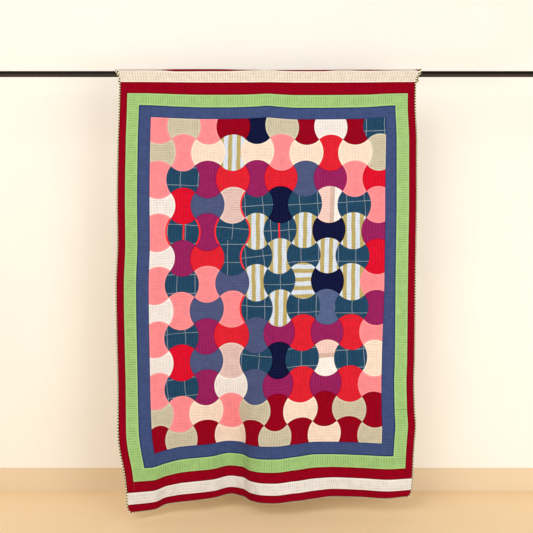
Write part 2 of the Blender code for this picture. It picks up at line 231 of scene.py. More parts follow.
def curve_through(places: Sequence[float], values: Array, at: Array) -> Array:
    """Read smooth curves that never overshoot their points.

    Args:
        places: where the points lie, rising.
        values: the points' values in the last axis, for one curve or for one curve per place read.
        at: the places to read.

    Returns:
        The curves' values, in the shape of `at`.
    """
    knots = np.asarray(places, dtype=float)
    heights = np.broadcast_to(values, at.shape + (len(knots),))
    at = np.clip(at, knots[0], knots[-1])
    slopes = np.diff(heights, axis=-1) / np.diff(knots)
    before = np.concatenate([slopes[..., :1], slopes], axis=-1)
    after = np.concatenate([slopes, slopes[..., -1:]], axis=-1)
    agree = before * after > 0.0
    total = np.where(agree, before + after, 1.0)
    bends = np.where(agree, 2.0 * before * after / total, 0.0)
    index = np.clip(np.searchsorted(knots, at, side="right") - 1, 0, len(knots) - 2)
    span = knots[index + 1] - knots[index]
    t = (at - knots[index]) / span
    start = (1.0 + 2.0 * t) * (1.0 - t) ** 2 * pick(heights, index)
    end = t * t * (3.0 - 2.0 * t) * pick(heights, index + 1)
    bend = t * (1.0 - t) * span * ((1.0 - t) * pick(bends, index) - t * pick(bends, index + 1))
    return start + end + bend


def edge_value(column: str, drop: Array) -> Array:
    """Read one column of EDGE_ROWS at drops in metres."""
    values = np.array([getattr(row, column) for row in EDGE_ROWS])
    return curve_through([row.drop for row in EDGE_ROWS], values, drop / MM) * MM


def fold_value(column: str, across: Array) -> Array:
    """Read one column of FOLD_ROWS at places across in metres."""
    values = np.array([getattr(row, column) for row in FOLD_ROWS])
    return curve_through([row.across for row in FOLD_ROWS], values, across / MM) * MM


def forward(across: Array, drop: Array) -> Array:
    """How far the folds stand out in front of the flat hanging cloth."""
    rows = [np.zeros_like(across)] + [fold_value(column, across) for column in ("mid", "low", "hem")]
    return curve_through(FOLD_DROPS, np.stack(rows, axis=-1), drop / MM)


@dataclass
class ClothSurface:
    """The middle surface of the quilt as it hangs, from its flat places.

    Attributes:
        arch: distance along the arch over the bar with the cloth's depth and height.
        hang_drops: levels at which `hang` is worked out.
        hang: X for each level, side (left, right) and step outwards from the centre line.
    """

    arch: Array = field(init=False)
    hang_drops: Array = field(init=False)
    hang: Array = field(init=False)

    def __post_init__(self) -> None:
        """Work out the arch and the table of hanging widths."""
        self.arch = self.arch_table()
        first = self.back_edge - 2 * HANG_STEP
        levels = int((DROP_HEM + 4 * HANG_STEP - first) / HANG_STEP)
        self.hang_drops = first + HANG_STEP * np.arange(levels)
        self.hang = self.hang_table()

    @staticmethod
    def arch_table() -> Array:
        """Rows of distance, depth and height along the arch, from the front to the back."""
        turn = np.linspace(0.0, math.pi, ARCH_SAMPLES + 1)
        lean = -np.cos(turn)
        depth = np.sign(lean) * ARCH_HALF_DEPTH * np.abs(lean) ** (2.0 / ARCH_POWER)
        height = ARCH_HEIGHT * np.abs(np.sin(turn)) ** (2.0 / ARCH_POWER)
        steps = np.hypot(np.diff(depth), np.diff(height))
        return np.stack([np.concatenate([[0.0], np.cumsum(steps)]), depth, height])

    @property
    def arch_length(self) -> float:
        """Length of cloth from the level of the bar's axis in front to that level behind."""
        return float(self.arch[0, -1])

    @property
    def top_seam(self) -> float:
        """Drop of the seam between the top end band and the top cream band."""
        return TOP_SEAM_TO_CREST - self.arch_length / 2

    @property
    def back_edge(self) -> float:
        """Drop of the raw edge of the flap behind the bar."""
        return -self.arch_length - BACK_FLAP_LENGTH

    def hang_table(self) -> Array:
        """Hanging widths: the cloth keeps its flat width where it bends round a fold.

        Returns:
            X in the axes level, side and step.
        """
        centre = edge_value("centre", self.hang_drops)[:, None]
        sides = []
        for side, half, edge in ((-1, LEFT_HALF, "left"), (1, RIGHT_HALF, "right")):
            step = half / WIDTH_STEPS
            places = side * step * np.arange(WIDTH_STEPS + 1)
            across, drop = np.meshgrid(places, self.hang_drops)
            bend = np.diff(forward(across, drop), axis=1)
            spans = np.sqrt(np.maximum(step**2 - bend**2, (LEAST_SPAN_SHARE * step) ** 2))
            spans = np.concatenate([np.zeros_like(centre), np.cumsum(spans, axis=1)], axis=1)
            reach = edge_value(edge, self.hang_drops)[:, None] - side * centre
            sides.append(centre + side * spans * reach / spans[:, -1:])
        return np.stack(sides, axis=1)

    def hang_x(self, across: Array, drop: Array) -> Array:
        """X at which places across hang at their drops."""
        side = (across >= 0.0).astype(int)
        share = np.abs(across) / np.where(side == 1, RIGHT_HALF, LEFT_HALF) * WIDTH_STEPS
        step = np.clip(share.astype(int), 0, WIDTH_STEPS - 1)
        level = (drop - self.hang_drops[0]) / HANG_STEP
        row = np.clip(level.astype(int), 0, len(self.hang_drops) - 2)
        t, u = share - step, level - row
        upper = self.hang[row, side, step] * (1.0 - t) + self.hang[row, side, step + 1] * t
        lower = self.hang[row + 1, side, step] * (1.0 - t) + self.hang[row + 1, side, step + 1] * t
        return upper * (1.0 - u) + lower * u

    @staticmethod
    def sewn_across(across: Array, drop: Array) -> Array:
        """Places across, shifted near the right blue strip's inner seam to where it is sewn."""
        span = np.where(across > PANEL_RIGHT, RIGHT_STRIPS[2], INNER_SEAM_SPAN)
        share = smooth_step(1.0 - np.abs(across - PANEL_RIGHT) / span)
        return across - edge_value("inner", drop) * share

    def profile(self, drop: Array) -> tuple[Array, Array]:
        """Depth and height of the cloth at drops, before folds."""
        distance = np.clip(-drop, 0.0, self.arch_length)
        depth = np.interp(distance, self.arch[0], self.arch[1])
        height = np.interp(distance, self.arch[0], self.arch[2])
        below = np.where(drop > 0.0, -drop, np.minimum(drop + self.arch_length, 0.0))
        return depth, height + below

    def point(self, across: Array, drop: Array) -> Array:
        """Points of the middle surface, XYZ in the last axis."""
        across = self.sewn_across(across, drop)
        lift = fold_value("lift", across)
        near_seam = smooth_step(1.0 - np.abs(drop - self.top_seam) / TOP_SEAM_REACH)
        depth, height = self.profile(drop + fold_value("seam", across) * near_seam)
        height = np.where(height > 0.0, height * (1.0 + lift / ARCH_HEIGHT), height)
        swing = smooth_step(drop / SAG_PEAK_DROP)
        swing *= smooth_step((SAG_END_DROP - drop) / (SAG_END_DROP - SAG_PEAK_DROP))
        longer = smooth_step((drop - DIP_START_DROP) / (DIP_FULL_DROP - DIP_START_DROP))
        hem_share = np.clip((drop - DROP_CREAM_END) / (DROP_HEM - DROP_CREAM_END), 0.0, HEM_OVERRUN)
        height = height - fold_value("sag", across) * swing - fold_value("dip", across) * longer
        height = height + fold_value("rise", across) * hem_share
        depth = depth - np.where(drop > 0.0, forward(across, drop), 0.0)
        return np.stack([self.hang_x(across, drop), depth, height], axis=-1)

    def normal(self, across: Array, drop: Array) -> Array:
        """Unit normals out of the cloth's front, XYZ in the last axis."""
        inner = np.clip(across, -LEFT_HALF + NORMAL_STEP, RIGHT_HALF - NORMAL_STEP)
        along = self.point(inner + NORMAL_STEP, drop) - self.point(inner - NORMAL_STEP, drop)
        down = self.point(inner, drop + NORMAL_STEP) - self.point(inner, drop - NORMAL_STEP)
        out = np.cross(down, along)
        return out / np.linalg.norm(out, axis=-1, keepdims=True)

    def raised(self, across: Array, drop: Array, height: Array | float) -> Array:
        """Points at a height out of the middle surface, towards the front."""
        return self.point(across, drop) + self.normal(across, drop) * np.asarray(height)[..., None]


def corner_cut(drop: Array) -> Array:
    """How far the side edges are cut back at a drop to round the hem corners."""
    share = np.clip((drop - DROP_CREAM_END) / (DROP_HEM - DROP_CREAM_END), 0.0, 1.0)
    return CORNER_CUT * share**3


def edge_across(across: Array, drop: Array) -> Array:
    """Places across, drawn in where they lie in a rounded hem corner."""
    left = -LEFT_HALF + PIECE_GAP / 2
    right = RIGHT_HALF - PIECE_GAP / 2
    corner = LEFT_STRIPS[0]
    near_left = np.clip((left + corner - across) / corner, 0.0, 1.0)
    near_right = np.clip((across - right + corner) / corner, 0.0, 1.0)
    return across + corner_cut(drop) * (near_left - near_right)


def linear(colour: Colour) -> tuple[float, float, float, float]:
    """Shader colour for a display colour of 0 to 255."""
    parts = [value / 255.0 for value in colour]
    parts = [p / 12.92 if p <= 0.04045 else ((p + 0.055) / 1.055) ** 2.4 for p in parts]
    return (*parts, 1.0)


class Wiring:
    """Adds nodes and links to one shader tree."""

    def __init__(self, tree: bpy.types.NodeTree) -> None:
        """Keep the tree that is wired."""
        self.tree = tree

    def node(self, kind: str, **settings: object) -> bpy.types.Node:
        """Add a node and set its options."""
        made = self.tree.nodes.new(kind)
        for name, value in settings.items():
            setattr(made, name, value)
        return made

    def feed(self, socket: Socket, value: object) -> None:
        """Link an output to a socket, or set the socket to a plain value."""
        if isinstance(value, bpy.types.NodeSocket):
            self.tree.links.new(value, socket)
        else:
            socket.default_value = value

    def math(self, operation: str, *values: object, clamp: bool = False) -> Socket:
        """Output of a Math node over the values."""
        made = self.node("ShaderNodeMath", operation=operation, use_clamp=clamp)
        for socket, value in zip(made.inputs, values):
            self.feed(socket, value)
        return made.outputs[0]

    add = partialmethod(math, "ADD")
    subtract = partialmethod(math, "SUBTRACT")
    times = partialmethod(math, "MULTIPLY")
    over = partialmethod(math, "DIVIDE")
    least = partialmethod(math, "MINIMUM")
    most = partialmethod(math, "MAXIMUM")

    def invert(self, mask: object) -> Socket:
        """A mask turned round, from 1 to 0."""
        return self.subtract(1.0, mask)

    def between(self, share: object, first: object, second: object) -> Socket:
        """The value at a share of the way from the first socket to the second."""
        return self.math("MULTIPLY_ADD", share, self.subtract(second, first), first)

    def spread(self, share: object, low: float, high: float) -> Socket:
        """A share of 0 to 1 spread from `low` to `high`."""
        return self.math("MULTIPLY_ADD", share, high - low, low)

    def off_middle(self, repeats: object) -> Socket:
        """Distance from the middle of the nearest repeat, from 0 to 0.5."""
        return self.math("ABSOLUTE", self.subtract(self.math("FRACT", repeats), 0.5))

    def mix(self, share: object, first: object, second: object, blend: str = "MIX") -> Socket:
        """Output of a colour Mix node from the first colour to the second."""
        made = self.node("ShaderNodeMix", data_type="RGBA", blend_type=blend, clamp_factor=True)
        self.feed(made.inputs["Factor"], share)
        self.feed(made.inputs[6], first)
        self.feed(made.inputs[7], second)
        return made.outputs[2]

    def shaded(self, colour: object, shade: object) -> Socket:
        """A colour multiplied by a shade."""
        return self.mix(1.0, colour, shade, "MULTIPLY")

    def eased(self, value: object, low: float, high: float) -> Socket:
        """A value eased from 0 at `low` to 1 at `high`."""
        made = self.node("ShaderNodeMapRange", interpolation_type="SMOOTHSTEP")
        self.feed(made.inputs["Value"], value)
        made.inputs["From Min"].default_value = low
        made.inputs["From Max"].default_value = high
        return made.outputs["Result"]

    def below(self, value: object, low: float, high: float) -> Socket:
        """A value eased from 1 at `low` to 0 at `high`."""
        return self.invert(self.eased(value, low, high))

    def noise(self, vector: object, scale: float, detail: float = 2.0) -> Socket:
        """Output of a Noise node, from 0 to 1."""
        made = self.node("ShaderNodeTexNoise", noise_dimensions="3D")
        self.feed(made.inputs["Vector"], vector)
        made.inputs["Scale"].default_value = scale
        made.inputs["Detail"].default_value = detail
        return made.outputs["Fac"]

    def around_zero(self, vector: object, scale: float, swing: float, detail: float = 1.0) -> Socket:
        """Smooth noise centred on zero, `swing` wide."""
        return self.times(self.subtract(self.noise(vector, scale, detail), 0.5), swing)

    def attribute(self, name: str) -> Socket:
        """A value that the mesh carries on its points."""
        return self.node("ShaderNodeAttribute", attribute_name=name).outputs["Fac"]

    def map_parts(self, name: str) -> tuple[Socket, Socket, Socket]:
        """The vector, U and V of a UV map."""
        vector = self.node("ShaderNodeUVMap", uv_map=name).outputs["UV"]
        across, down, _ = self.parts(vector)
        return vector, across, down

    def parts(self, vector: Socket) -> tuple[Socket, Socket, Socket]:
        """The X, Y and Z of a vector."""
        made = self.node("ShaderNodeSeparateXYZ")
        self.feed(made.inputs[0], vector)
        return made.outputs["X"], made.outputs["Y"], made.outputs["Z"]

    def object_place(self) -> Socket:
        """The shaded point in its object's own axes."""
        return self.node("ShaderNodeTexCoord").outputs["Object"]

    def group(self, tree: bpy.types.NodeTree, **values: object) -> bpy.types.Node:
        """Place a shader node group and feed its inputs, named with underscores for spaces."""
        made = self.node("ShaderNodeGroup", node_tree=tree)
        for name, value in values.items():
            self.feed(made.inputs[name.replace("_", " ")], value)
        return made

    def bump(self, shader: bpy.types.Node, height: object, strength: float, distance: float) -> None:
        """Give a shader fine relief from a height."""
        made = self.node("ShaderNodeBump")
        made.inputs["Strength"].default_value = strength
        made.inputs["Distance"].default_value = distance
        self.feed(made.inputs["Height"], height)
        self.feed(shader.inputs["Normal"], made.outputs["Normal"])


def new_material(name: str) -> tuple[bpy.types.Material, Wiring, bpy.types.Node]:
    """A new material with its wiring and its main shader."""
    material = bpy.data.materials.new(name)
    material.use_nodes = True
    return material, Wiring(material.node_tree), material.node_tree.nodes["Principled BSDF"]


class EffectGroup:
    """A shader node group with named inputs and outputs, made once."""

    NAME = ""
    INPUTS: dict[str, float] = {}
    OUTPUTS: tuple[str, ...] = ()
    made: dict[str, bpy.types.NodeTree] = {}

    @classmethod
    def tree(cls) -> bpy.types.NodeTree:
        """The group's node tree, built at its first use."""
        if cls.NAME not in EffectGroup.made:
            tree = bpy.data.node_groups.new(cls.NAME, "ShaderNodeTree")
            for name, value in cls.INPUTS.items():
                socket = tree.interface.new_socket(name, in_out="INPUT", socket_type="NodeSocketFloat")
                socket.default_value = value
            for name in cls.OUTPUTS:
                tree.interface.new_socket(name, in_out="OUTPUT", socket_type="NodeSocketFloat")
            wiring = Wiring(tree)
            given = wiring.node("NodeGroupInput")
            results = cls.wire(wiring, {name: given.outputs[name] for name in cls.INPUTS})
            taken = wiring.node("NodeGroupOutput")
            for name, value in zip(cls.OUTPUTS, results):
                wiring.feed(taken.inputs[name], value)
            EffectGroup.made[cls.NAME] = tree
        return EffectGroup.made[cls.NAME]

    @classmethod
    def wire(cls, wiring: Wiring, given: dict[str, Socket]) -> tuple:
        """Lay out the group's nodes and return its outputs in order."""
        raise NotImplementedError


class CottonWeave(EffectGroup):
    """Uneven dye and a fine slubby weave."""

    NAME = "cotton_weave"
    INPUTS = {"Mottle": 0.1}
    OUTPUTS = ("Shade", "Height")
    FADE_SCALE = 22.0
    FADE_SHARE = 0.65
    SLUB_SCALE = 420.0
    SLUB_SHARE = 0.35

    @classmethod
    def wire(cls, wiring: Wiring, given: dict[str, Socket]) -> tuple:
        """Blend broad patches of fading with fine slubs."""
        vector, _, _ = wiring.map_parts("flat")
        broad = wiring.noise(vector, cls.FADE_SCALE, 3.0)
        slub = wiring.noise(vector, cls.SLUB_SCALE, 2.0)
        both = wiring.add(wiring.times(broad, cls.FADE_SHARE), wiring.times(slub, cls.SLUB_SHARE))
        swing = wiring.times(wiring.subtract(both, 0.5), given["Mottle"])
        return wiring.add(wiring.times(swing, 2.0), 1.0), slub


class RunningStitch(EffectGroup):
    """Rows of running stitches that follow the quilt's nearest edge, with the puckers that they pull.

    The stitches of neighbouring rows lie side by side, so they also draw bars across the rows. Each wander
    is the scale of its noise and how wide it swings. Each width, length or range is the pair of values at
    which a mask starts and ends, and widths and lengths are shares of a row's pitch or a stitch's length.
    """

    NAME = "running_stitch"
    INPUTS = {"Row Pitch": 0.015, "Stitch Length": 0.0115, "Bars": 0.0}
    OUTPUTS = ("Thread", "Height", "Valley")
    CORNER_WANDER = (5.0, 0.16)
    ROW_WANDER = (14.0, 0.012)
    BAR_WANDER = (7.0, 0.016)
    THREAD_WIDTH = (0.06, 0.11)
    THREAD_LENGTH = (0.22, 0.30)
    VALLEY_WIDTH = (0.0, 0.42)
    LEAD_SCALE = 6.0
    LEAD_RANGE = (0.38, 0.62)
    LEAD_DEPTH = 0.7
    CROSSING_DEPTH = 0.5
    PULL_SCALE = 34.0
    PULL_RANGE = (0.3, 0.7)
    WEAKEST_PULL = 0.35
    PUCKER_SCALE = 95.0
    PUCKER_DEPTH = 0.4

    @classmethod
    def wire(cls, wiring: Wiring, given: dict[str, Socket]) -> tuple:
        """Find the place across and along the rows, then cut dashes and valleys from it."""
        vector, across, drop = wiring.map_parts("flat")
        from_side = wiring.least(wiring.add(across, LEFT_HALF), wiring.subtract(RIGHT_HALF, across))
        from_end = wiring.least(wiring.subtract(drop, QUILTING_TOP), wiring.subtract(DROP_HEM, drop))
        wander = wiring.add(wiring.around_zero(vector, *cls.CORNER_WANDER), wiring.attribute("row_turn"))
        by_side = wiring.math("GREATER_THAN", wiring.add(from_end, wander), from_side)
        cross = wiring.between(by_side, from_end, from_side)
        along = wiring.between(by_side, across, drop)
        rows = wiring.add(cross, wiring.around_zero(vector, *cls.ROW_WANDER))
        bars = wiring.add(along, wiring.around_zero(vector, *cls.BAR_WANDER))
        off_row = wiring.off_middle(wiring.over(rows, given["Row Pitch"]))
        off_bar = wiring.off_middle(wiring.over(bars, given["Stitch Length"]))
        thread = wiring.below(off_bar, *cls.THREAD_LENGTH)
        thread = wiring.times(wiring.below(off_row, *cls.THREAD_WIDTH), thread)
        row = wiring.below(off_row, *cls.VALLEY_WIDTH)
        bar = wiring.below(off_bar, *cls.VALLEY_WIDTH)
        lead = wiring.eased(wiring.noise(vector, cls.LEAD_SCALE, 1.0), *cls.LEAD_RANGE)
        leading = wiring.between(wiring.add(lead, given["Bars"], clamp=True), row, bar)
        crossing = wiring.times(wiring.times(bar, row), cls.CROSSING_DEPTH)
        drawn_in = wiring.math("MULTIPLY_ADD", leading, cls.LEAD_DEPTH, crossing)
        pull = wiring.eased(wiring.noise(vector, cls.PULL_SCALE), *cls.PULL_RANGE)
        valley = wiring.times(drawn_in, wiring.spread(pull, cls.WEAKEST_PULL, 1.0))
        puckers = wiring.noise(vector, cls.PUCKER_SCALE, 1.0)
        height = wiring.math("MULTIPLY_ADD", puckers, cls.PUCKER_DEPTH, wiring.times(valley, -1.0))
        return thread, height, valley


class SeamRim(EffectGroup):
    """The unquilted puffed rim beside a seam, and the groove of the seam itself.

    `UNEVEN` is how far the rim's inner edge wanders either way, `INNER_EDGE` the shares of the rim's width
    over which it ends, and `GROOVE` the width over which the groove fades.
    """

    NAME = "seam_rim"
    INPUTS = {"Width": 0.006}
    OUTPUTS = ("Rim", "Outer", "Groove")
    UNEVEN = 2.0 * MM
    UNEVEN_SCALE = 60.0
    INNER_EDGE = (0.75, 1.15)
    GROOVE = 2.2 * MM

    @classmethod
    def wire(cls, wiring: Wiring, given: dict[str, Socket]) -> tuple:
        """Turn the distance from the nearest seam into masks."""
        vector, _, _ = wiring.map_parts("flat")
        distance = wiring.attribute("seam_distance")
        wander = wiring.noise(vector, cls.UNEVEN_SCALE, 1.0)
        uneven = wiring.math("MULTIPLY_ADD", wander, 2.0 * cls.UNEVEN, distance)
        share = wiring.over(wiring.subtract(uneven, cls.UNEVEN), given["Width"])
        rim = wiring.below(share, *cls.INNER_EDGE)
        return rim, wiring.attribute("outer_seam"), wiring.below(distance, 0.0, cls.GROOVE)


class WindowpaneLines(EffectGroup):
    """Thin pale lines in a square check."""

    NAME = "windowpane_lines"
    INPUTS = {"Period": 0.087, "Line": 0.0021}
    OUTPUTS = ("Lines",)
    SWAY = (16.0, 6.0 * MM)
    LINE_EDGE = (0.35, 0.75)

    @classmethod
    def wire(cls, wiring: Wiring, given: dict[str, Socket]) -> tuple:
        """Join the upright and level lines."""
        vector, across, down = wiring.map_parts("print")
        sway = wiring.around_zero(vector, *cls.SWAY, detail=0.0)
        half = wiring.times(given["Period"], 0.5)
        masks = []
        for place in (across, down):
            off_line = wiring.math("PINGPONG", wiring.add(place, sway), half)
            masks.append(wiring.below(wiring.over(off_line, given["Line"]), *cls.LINE_EDGE))
        return (wiring.most(*masks),)


class WovenStripes(EffectGroup):
    """Broad stripes with slightly blurred edges."""

    NAME = "woven_stripes"
    INPUTS = {"Period": 0.041, "Share": 0.48}
    OUTPUTS = ("Stripe",)
    SWAY = (18.0, 5.0 * MM)
    EDGE = (-0.05, 0.05)

    @classmethod
    def wire(cls, wiring: Wiring, given: dict[str, Socket]) -> tuple:
        """Centre a stripe on the map's zero and repeat it."""
        vector, across, _ = wiring.map_parts("print")
        moved = wiring.add(across, wiring.around_zero(vector, *cls.SWAY, detail=0.0))
        half = wiring.times(given["Period"], 0.5)
        share = wiring.over(wiring.math("PINGPONG", moved, half), half)
        return (wiring.below(wiring.subtract(share, given["Share"]), *cls.EDGE),)


class WoodGrain(EffectGroup):
    """Long streaks of grain along the bar."""

    NAME = "wood_grain"
    INPUTS = {"Stretch": 0.03}
    OUTPUTS = ("Streak",)
    GRAIN_SCALE = 260.0

    @classmethod
    def wire(cls, wiring: Wiring, given: dict[str, Socket]) -> tuple:
        """Stretch noise along the bar's length."""
        along, depth, height = wiring.parts(wiring.object_place())
        joined = wiring.node("ShaderNodeCombineXYZ")
        wiring.feed(joined.inputs["X"], wiring.times(along, given["Stretch"]))
        wiring.feed(joined.inputs["Y"], depth)
        wiring.feed(joined.inputs["Z"], height)
        return (wiring.noise(joined.outputs[0], cls.GRAIN_SCALE, 4.0),)


@dataclass(frozen=True)
class ClothFinish:
    """Plain quilted cotton.

    Attributes:
        name: the material's name.
        colour: display colour of the quilted field.
        rim: display colour of the puffed rim along the seams.
        outer_rim: display colour of the rim along a border strip's outer seam.
        thread: display colour of the stitches.
        thread_show: how strongly the stitches show.
        shade: how much the valleys of the rows darken.
        groove_shade: how much a seam darkens.
        mottle: how uneven the dye is.
        row_pitch: distance between rows of stitches.
        stitch_length: distance from stitch to stitch along a row.
        bars: how much the bars across the rows lead everywhere, from 0 to 1.
        join_drop: the drop at which it is pieced from two lengths, if it is.
        roughness: the cloth's least and greatest roughness.
        sheen: how much soft light its nap catches at the edges.
        nap_roughness: how widely that light spreads.
        shine: how much its threads shine.
        weave_relief: how much of the relief is the weave's.
        relief_strength: how strongly the relief shades.
        relief_height: height that the relief stands for.
    """

    name: str
    colour: Colour
    rim: Colour
    outer_rim: Colour | None = None
    thread: Colour = (240, 226, 205)
    thread_show: float = 0.12
    shade: float = 0.40
    groove_shade: float = 0.35
    mottle: float = 0.10
    row_pitch: float = 15.0 * MM
    stitch_length: float = 11.5 * MM
    bars: float = 0.35
    join_drop: float | None = None
    roughness: tuple[float, float] = (0.83, 0.93)
    sheen: float = 0.01
    nap_roughness: float = 0.5
    shine: float = 0.03
    weave_relief: float = 0.15
    relief_strength: float = 0.75
    relief_height: float = 1.1 * MM

    def cloth_colour(self, wiring: Wiring) -> object:
        """The dyed, woven or printed colour before sewing."""
        return linear(self.colour)

    def rim_colour(self, wiring: Wiring, outer: object, cloth: object) -> object:
        """Colour of the puffed rim, given the mask of outer seams and the cloth's own colour."""
        return wiring.mix(outer, linear(self.rim), linear(self.outer_rim or self.rim))

    def grooves(self, wiring: Wiring, seams: Socket) -> Socket:
        """Mask of the seams, with that of the join where the cloth is pieced."""
        if self.join_drop is None:
            return seams
        _, _, drop = wiring.map_parts("flat")
        off_join = wiring.math("ABSOLUTE", wiring.subtract(drop, self.join_drop))
        return wiring.most(seams, wiring.below(off_join, *JOIN_EDGE))

    def material(self) -> bpy.types.Material:
        """The material, made once."""
        if self.name in MADE_CLOTHS:
            return MADE_CLOTHS[self.name]
        material, wiring, shader = new_material(self.name)
        MADE_CLOTHS[self.name] = material
        weave = wiring.group(CottonWeave.tree(), Mottle=self.mottle)
        stitch = wiring.group(RunningStitch.tree(), Row_Pitch=self.row_pitch,
                              Stitch_Length=self.stitch_length, Bars=self.bars)
        seam = wiring.group(SeamRim.tree())
        quilted = wiring.invert(seam.outputs["Rim"])
        valley = wiring.times(wiring.times(stitch.outputs["Valley"], self.shade), quilted)
        thread = wiring.times(wiring.times(stitch.outputs["Thread"], self.thread_show), quilted)
        groove = wiring.times(self.grooves(wiring, seam.outputs["Groove"]), self.groove_shade)
        cloth = self.cloth_colour(wiring)
        rim = self.rim_colour(wiring, seam.outputs["Outer"], cloth)
        colour = wiring.mix(seam.outputs["Rim"], cloth, rim)
        colour = wiring.shaded(colour, wiring.invert(valley))
        colour = wiring.mix(thread, colour, linear(self.thread))
        colour = wiring.shaded(colour, weave.outputs["Shade"])
        colour = wiring.shaded(colour, wiring.invert(groove))
        rough = wiring.spread(weave.outputs["Height"], *self.roughness)
        wiring.feed(shader.inputs["Base Color"], colour)
        wiring.feed(shader.inputs["Roughness"], rough)
        shader.inputs["Sheen Weight"].default_value = self.sheen
        shader.inputs["Sheen Roughness"].default_value = self.nap_roughness
        shader.inputs["Specular IOR Level"].default_value = self.shine
        sewn = wiring.times(stitch.outputs["Height"], quilted)
        height = wiring.math("MULTIPLY_ADD", weave.outputs["Height"], self.weave_relief, sewn)
        wiring.bump(shader, height, self.relief_strength, self.relief_height)
        return material


JOIN_EDGE = (1.0 * MM, 3.0 * MM)
MADE_CLOTHS: dict[str, bpy.types.Material] = {}


@dataclass(frozen=True)
class PrintedFinish(ClothFinish):
    """Cloth whose pattern runs on over its rims."""

    def rim_colour(self, wiring: Wiring, outer: object, cloth: object) -> object:
        """The cloth's own colour."""
        return cloth


@dataclass(frozen=True)
class WindowpaneFinish(PrintedFinish):
    """Denim with a thin pale windowpane check.

    Attributes:
        line: display colour of the lines.
        line_show: how strongly the lines show.
    """

    line: Colour = (170, 184, 196)
    line_show: float = 0.78

    def cloth_colour(self, wiring: Wiring) -> object:
        """Denim crossed by its pale lines."""
        lines = wiring.group(WindowpaneLines.tree()).outputs["Lines"]
        return wiring.mix(wiring.times(lines, self.line_show), linear(self.colour), linear(self.line))


@dataclass(frozen=True)
class StripedFinish(PrintedFinish):
    """Cloth woven in two broad stripes.

    Attributes:
        stripe: display colour of the stripe that is centred on the map's zero.
        period: width of both stripes together.
        share: how much of the period the stripe takes.
    """

    stripe: Colour = (182, 166, 104)
    period: float = 41 * MM
    share: float = 0.48

    def cloth_colour(self, wiring: Wiring) -> object:
        """The ground crossed by its stripes."""
        stripes = wiring.group(WovenStripes.tree(), Period=self.period, Share=self.share)
        return wiring.mix(stripes.outputs["Stripe"], linear(self.colour), linear(self.stripe))


@dataclass(frozen=True)
class BandedFinish(PrintedFinish):
    """Pale cloth with one broad band and a darker ground on one side of it.

    Attributes:
        ground: display colour of the ground before the band.
        band: display colour of the band on the map's zero.
        half_width: half the band's width.
        blur: how far its edges are blurred either way.
    """

    ground: Colour = (236, 203, 197)
    band: Colour = (208, 180, 170)
    half_width: float = 11 * MM
    blur: float = 1.0 * MM

    def cloth_colour(self, wiring: Wiring) -> object:
        """Two grounds parted by the band."""
        _, across, _ = wiring.map_parts("print")
        after = wiring.eased(across, -self.blur, self.blur)
        off_band = wiring.math("ABSOLUTE", across)
        band = wiring.below(off_band, self.half_width - self.blur, self.half_width + self.blur)
        grounds = wiring.mix(after, linear(self.ground), linear(self.colour))
        return wiring.mix(band, grounds, linear(self.band))


@dataclass(frozen=True)
class WoodFinish:
    """Dark stained wood, with a painted highlight in brown along the front's lower lip.

    Attributes:
        name: the material's name.
        colour: display colour of the bar.
        lip_light: display colour of the painted highlight on the lip.
        lip_top: heights between which the lip's upper edge fades.
        lip_foot: heights between which its lower edge fades.
        lip_front: depth in front of which the lip lies.
        streaks: darkest and lightest shade of the grain.
        roughness: the wood's least and greatest roughness.
        shine: how much it shines.
        relief_strength: how strongly the grain's relief shades.
        relief_height: height that the relief stands for.
    """

    name: str = "stained_bar"
    colour: Colour = (5, 4, 3)
    lip_light: Colour = (74, 54, 34)
    lip_top: tuple[float, float] = (-6.2 * MM, -5.2 * MM)
    lip_foot: tuple[float, float] = (-11.2 * MM, -10.2 * MM)
    lip_front: float = -15.0 * MM
    streaks: tuple[float, float] = (0.65, 1.35)
    roughness: tuple[float, float] = (0.45, 0.70)
    shine: float = 0.15
    relief_strength: float = 0.3
    relief_height: float = 0.2 * MM

    def material(self) -> bpy.types.Material:
        """The bar's material."""
        material, wiring, shader = new_material(self.name)
        grain = wiring.group(WoodGrain.tree()).outputs["Streak"]
        _, depth, height = wiring.parts(wiring.object_place())
        # Painted highlight: the front's lower lip is coloured brown, as if it caught light from below.
        level = wiring.times(wiring.below(height, *self.lip_top), wiring.eased(height, *self.lip_foot))
        lip_light = wiring.times(level, wiring.math("LESS_THAN", depth, self.lip_front))
        colour = wiring.mix(lip_light, linear(self.colour), linear(self.lip_light))
        colour = wiring.shaded(colour, wiring.spread(grain, *self.streaks))
        wiring.feed(shader.inputs["Base Color"], colour)
        wiring.feed(shader.inputs["Roughness"], wiring.spread(grain, *self.roughness))
        shader.inputs["Specular IOR Level"].default_value = self.shine
        wiring.bump(shader, grain, self.relief_strength, self.relief_height)
        return material


class Fabric(Enum):
    """The cloths that the patches are cut from."""

    PINK = "pink"
    SAGE = "sage"
    CREAM = "cream"
    WHITE = "white"
    MAROON = "maroon"
    NAVY = "navy"
    DENIM = "denim"
    RED = "red"
    CRIMSON = "crimson"
    PURPLE = "purple"
    SLATE = "slate"
    BLUSH = "blush"
    STRIPE = "stripe"
    BANDED = "banded"
    BLOCK = "block"


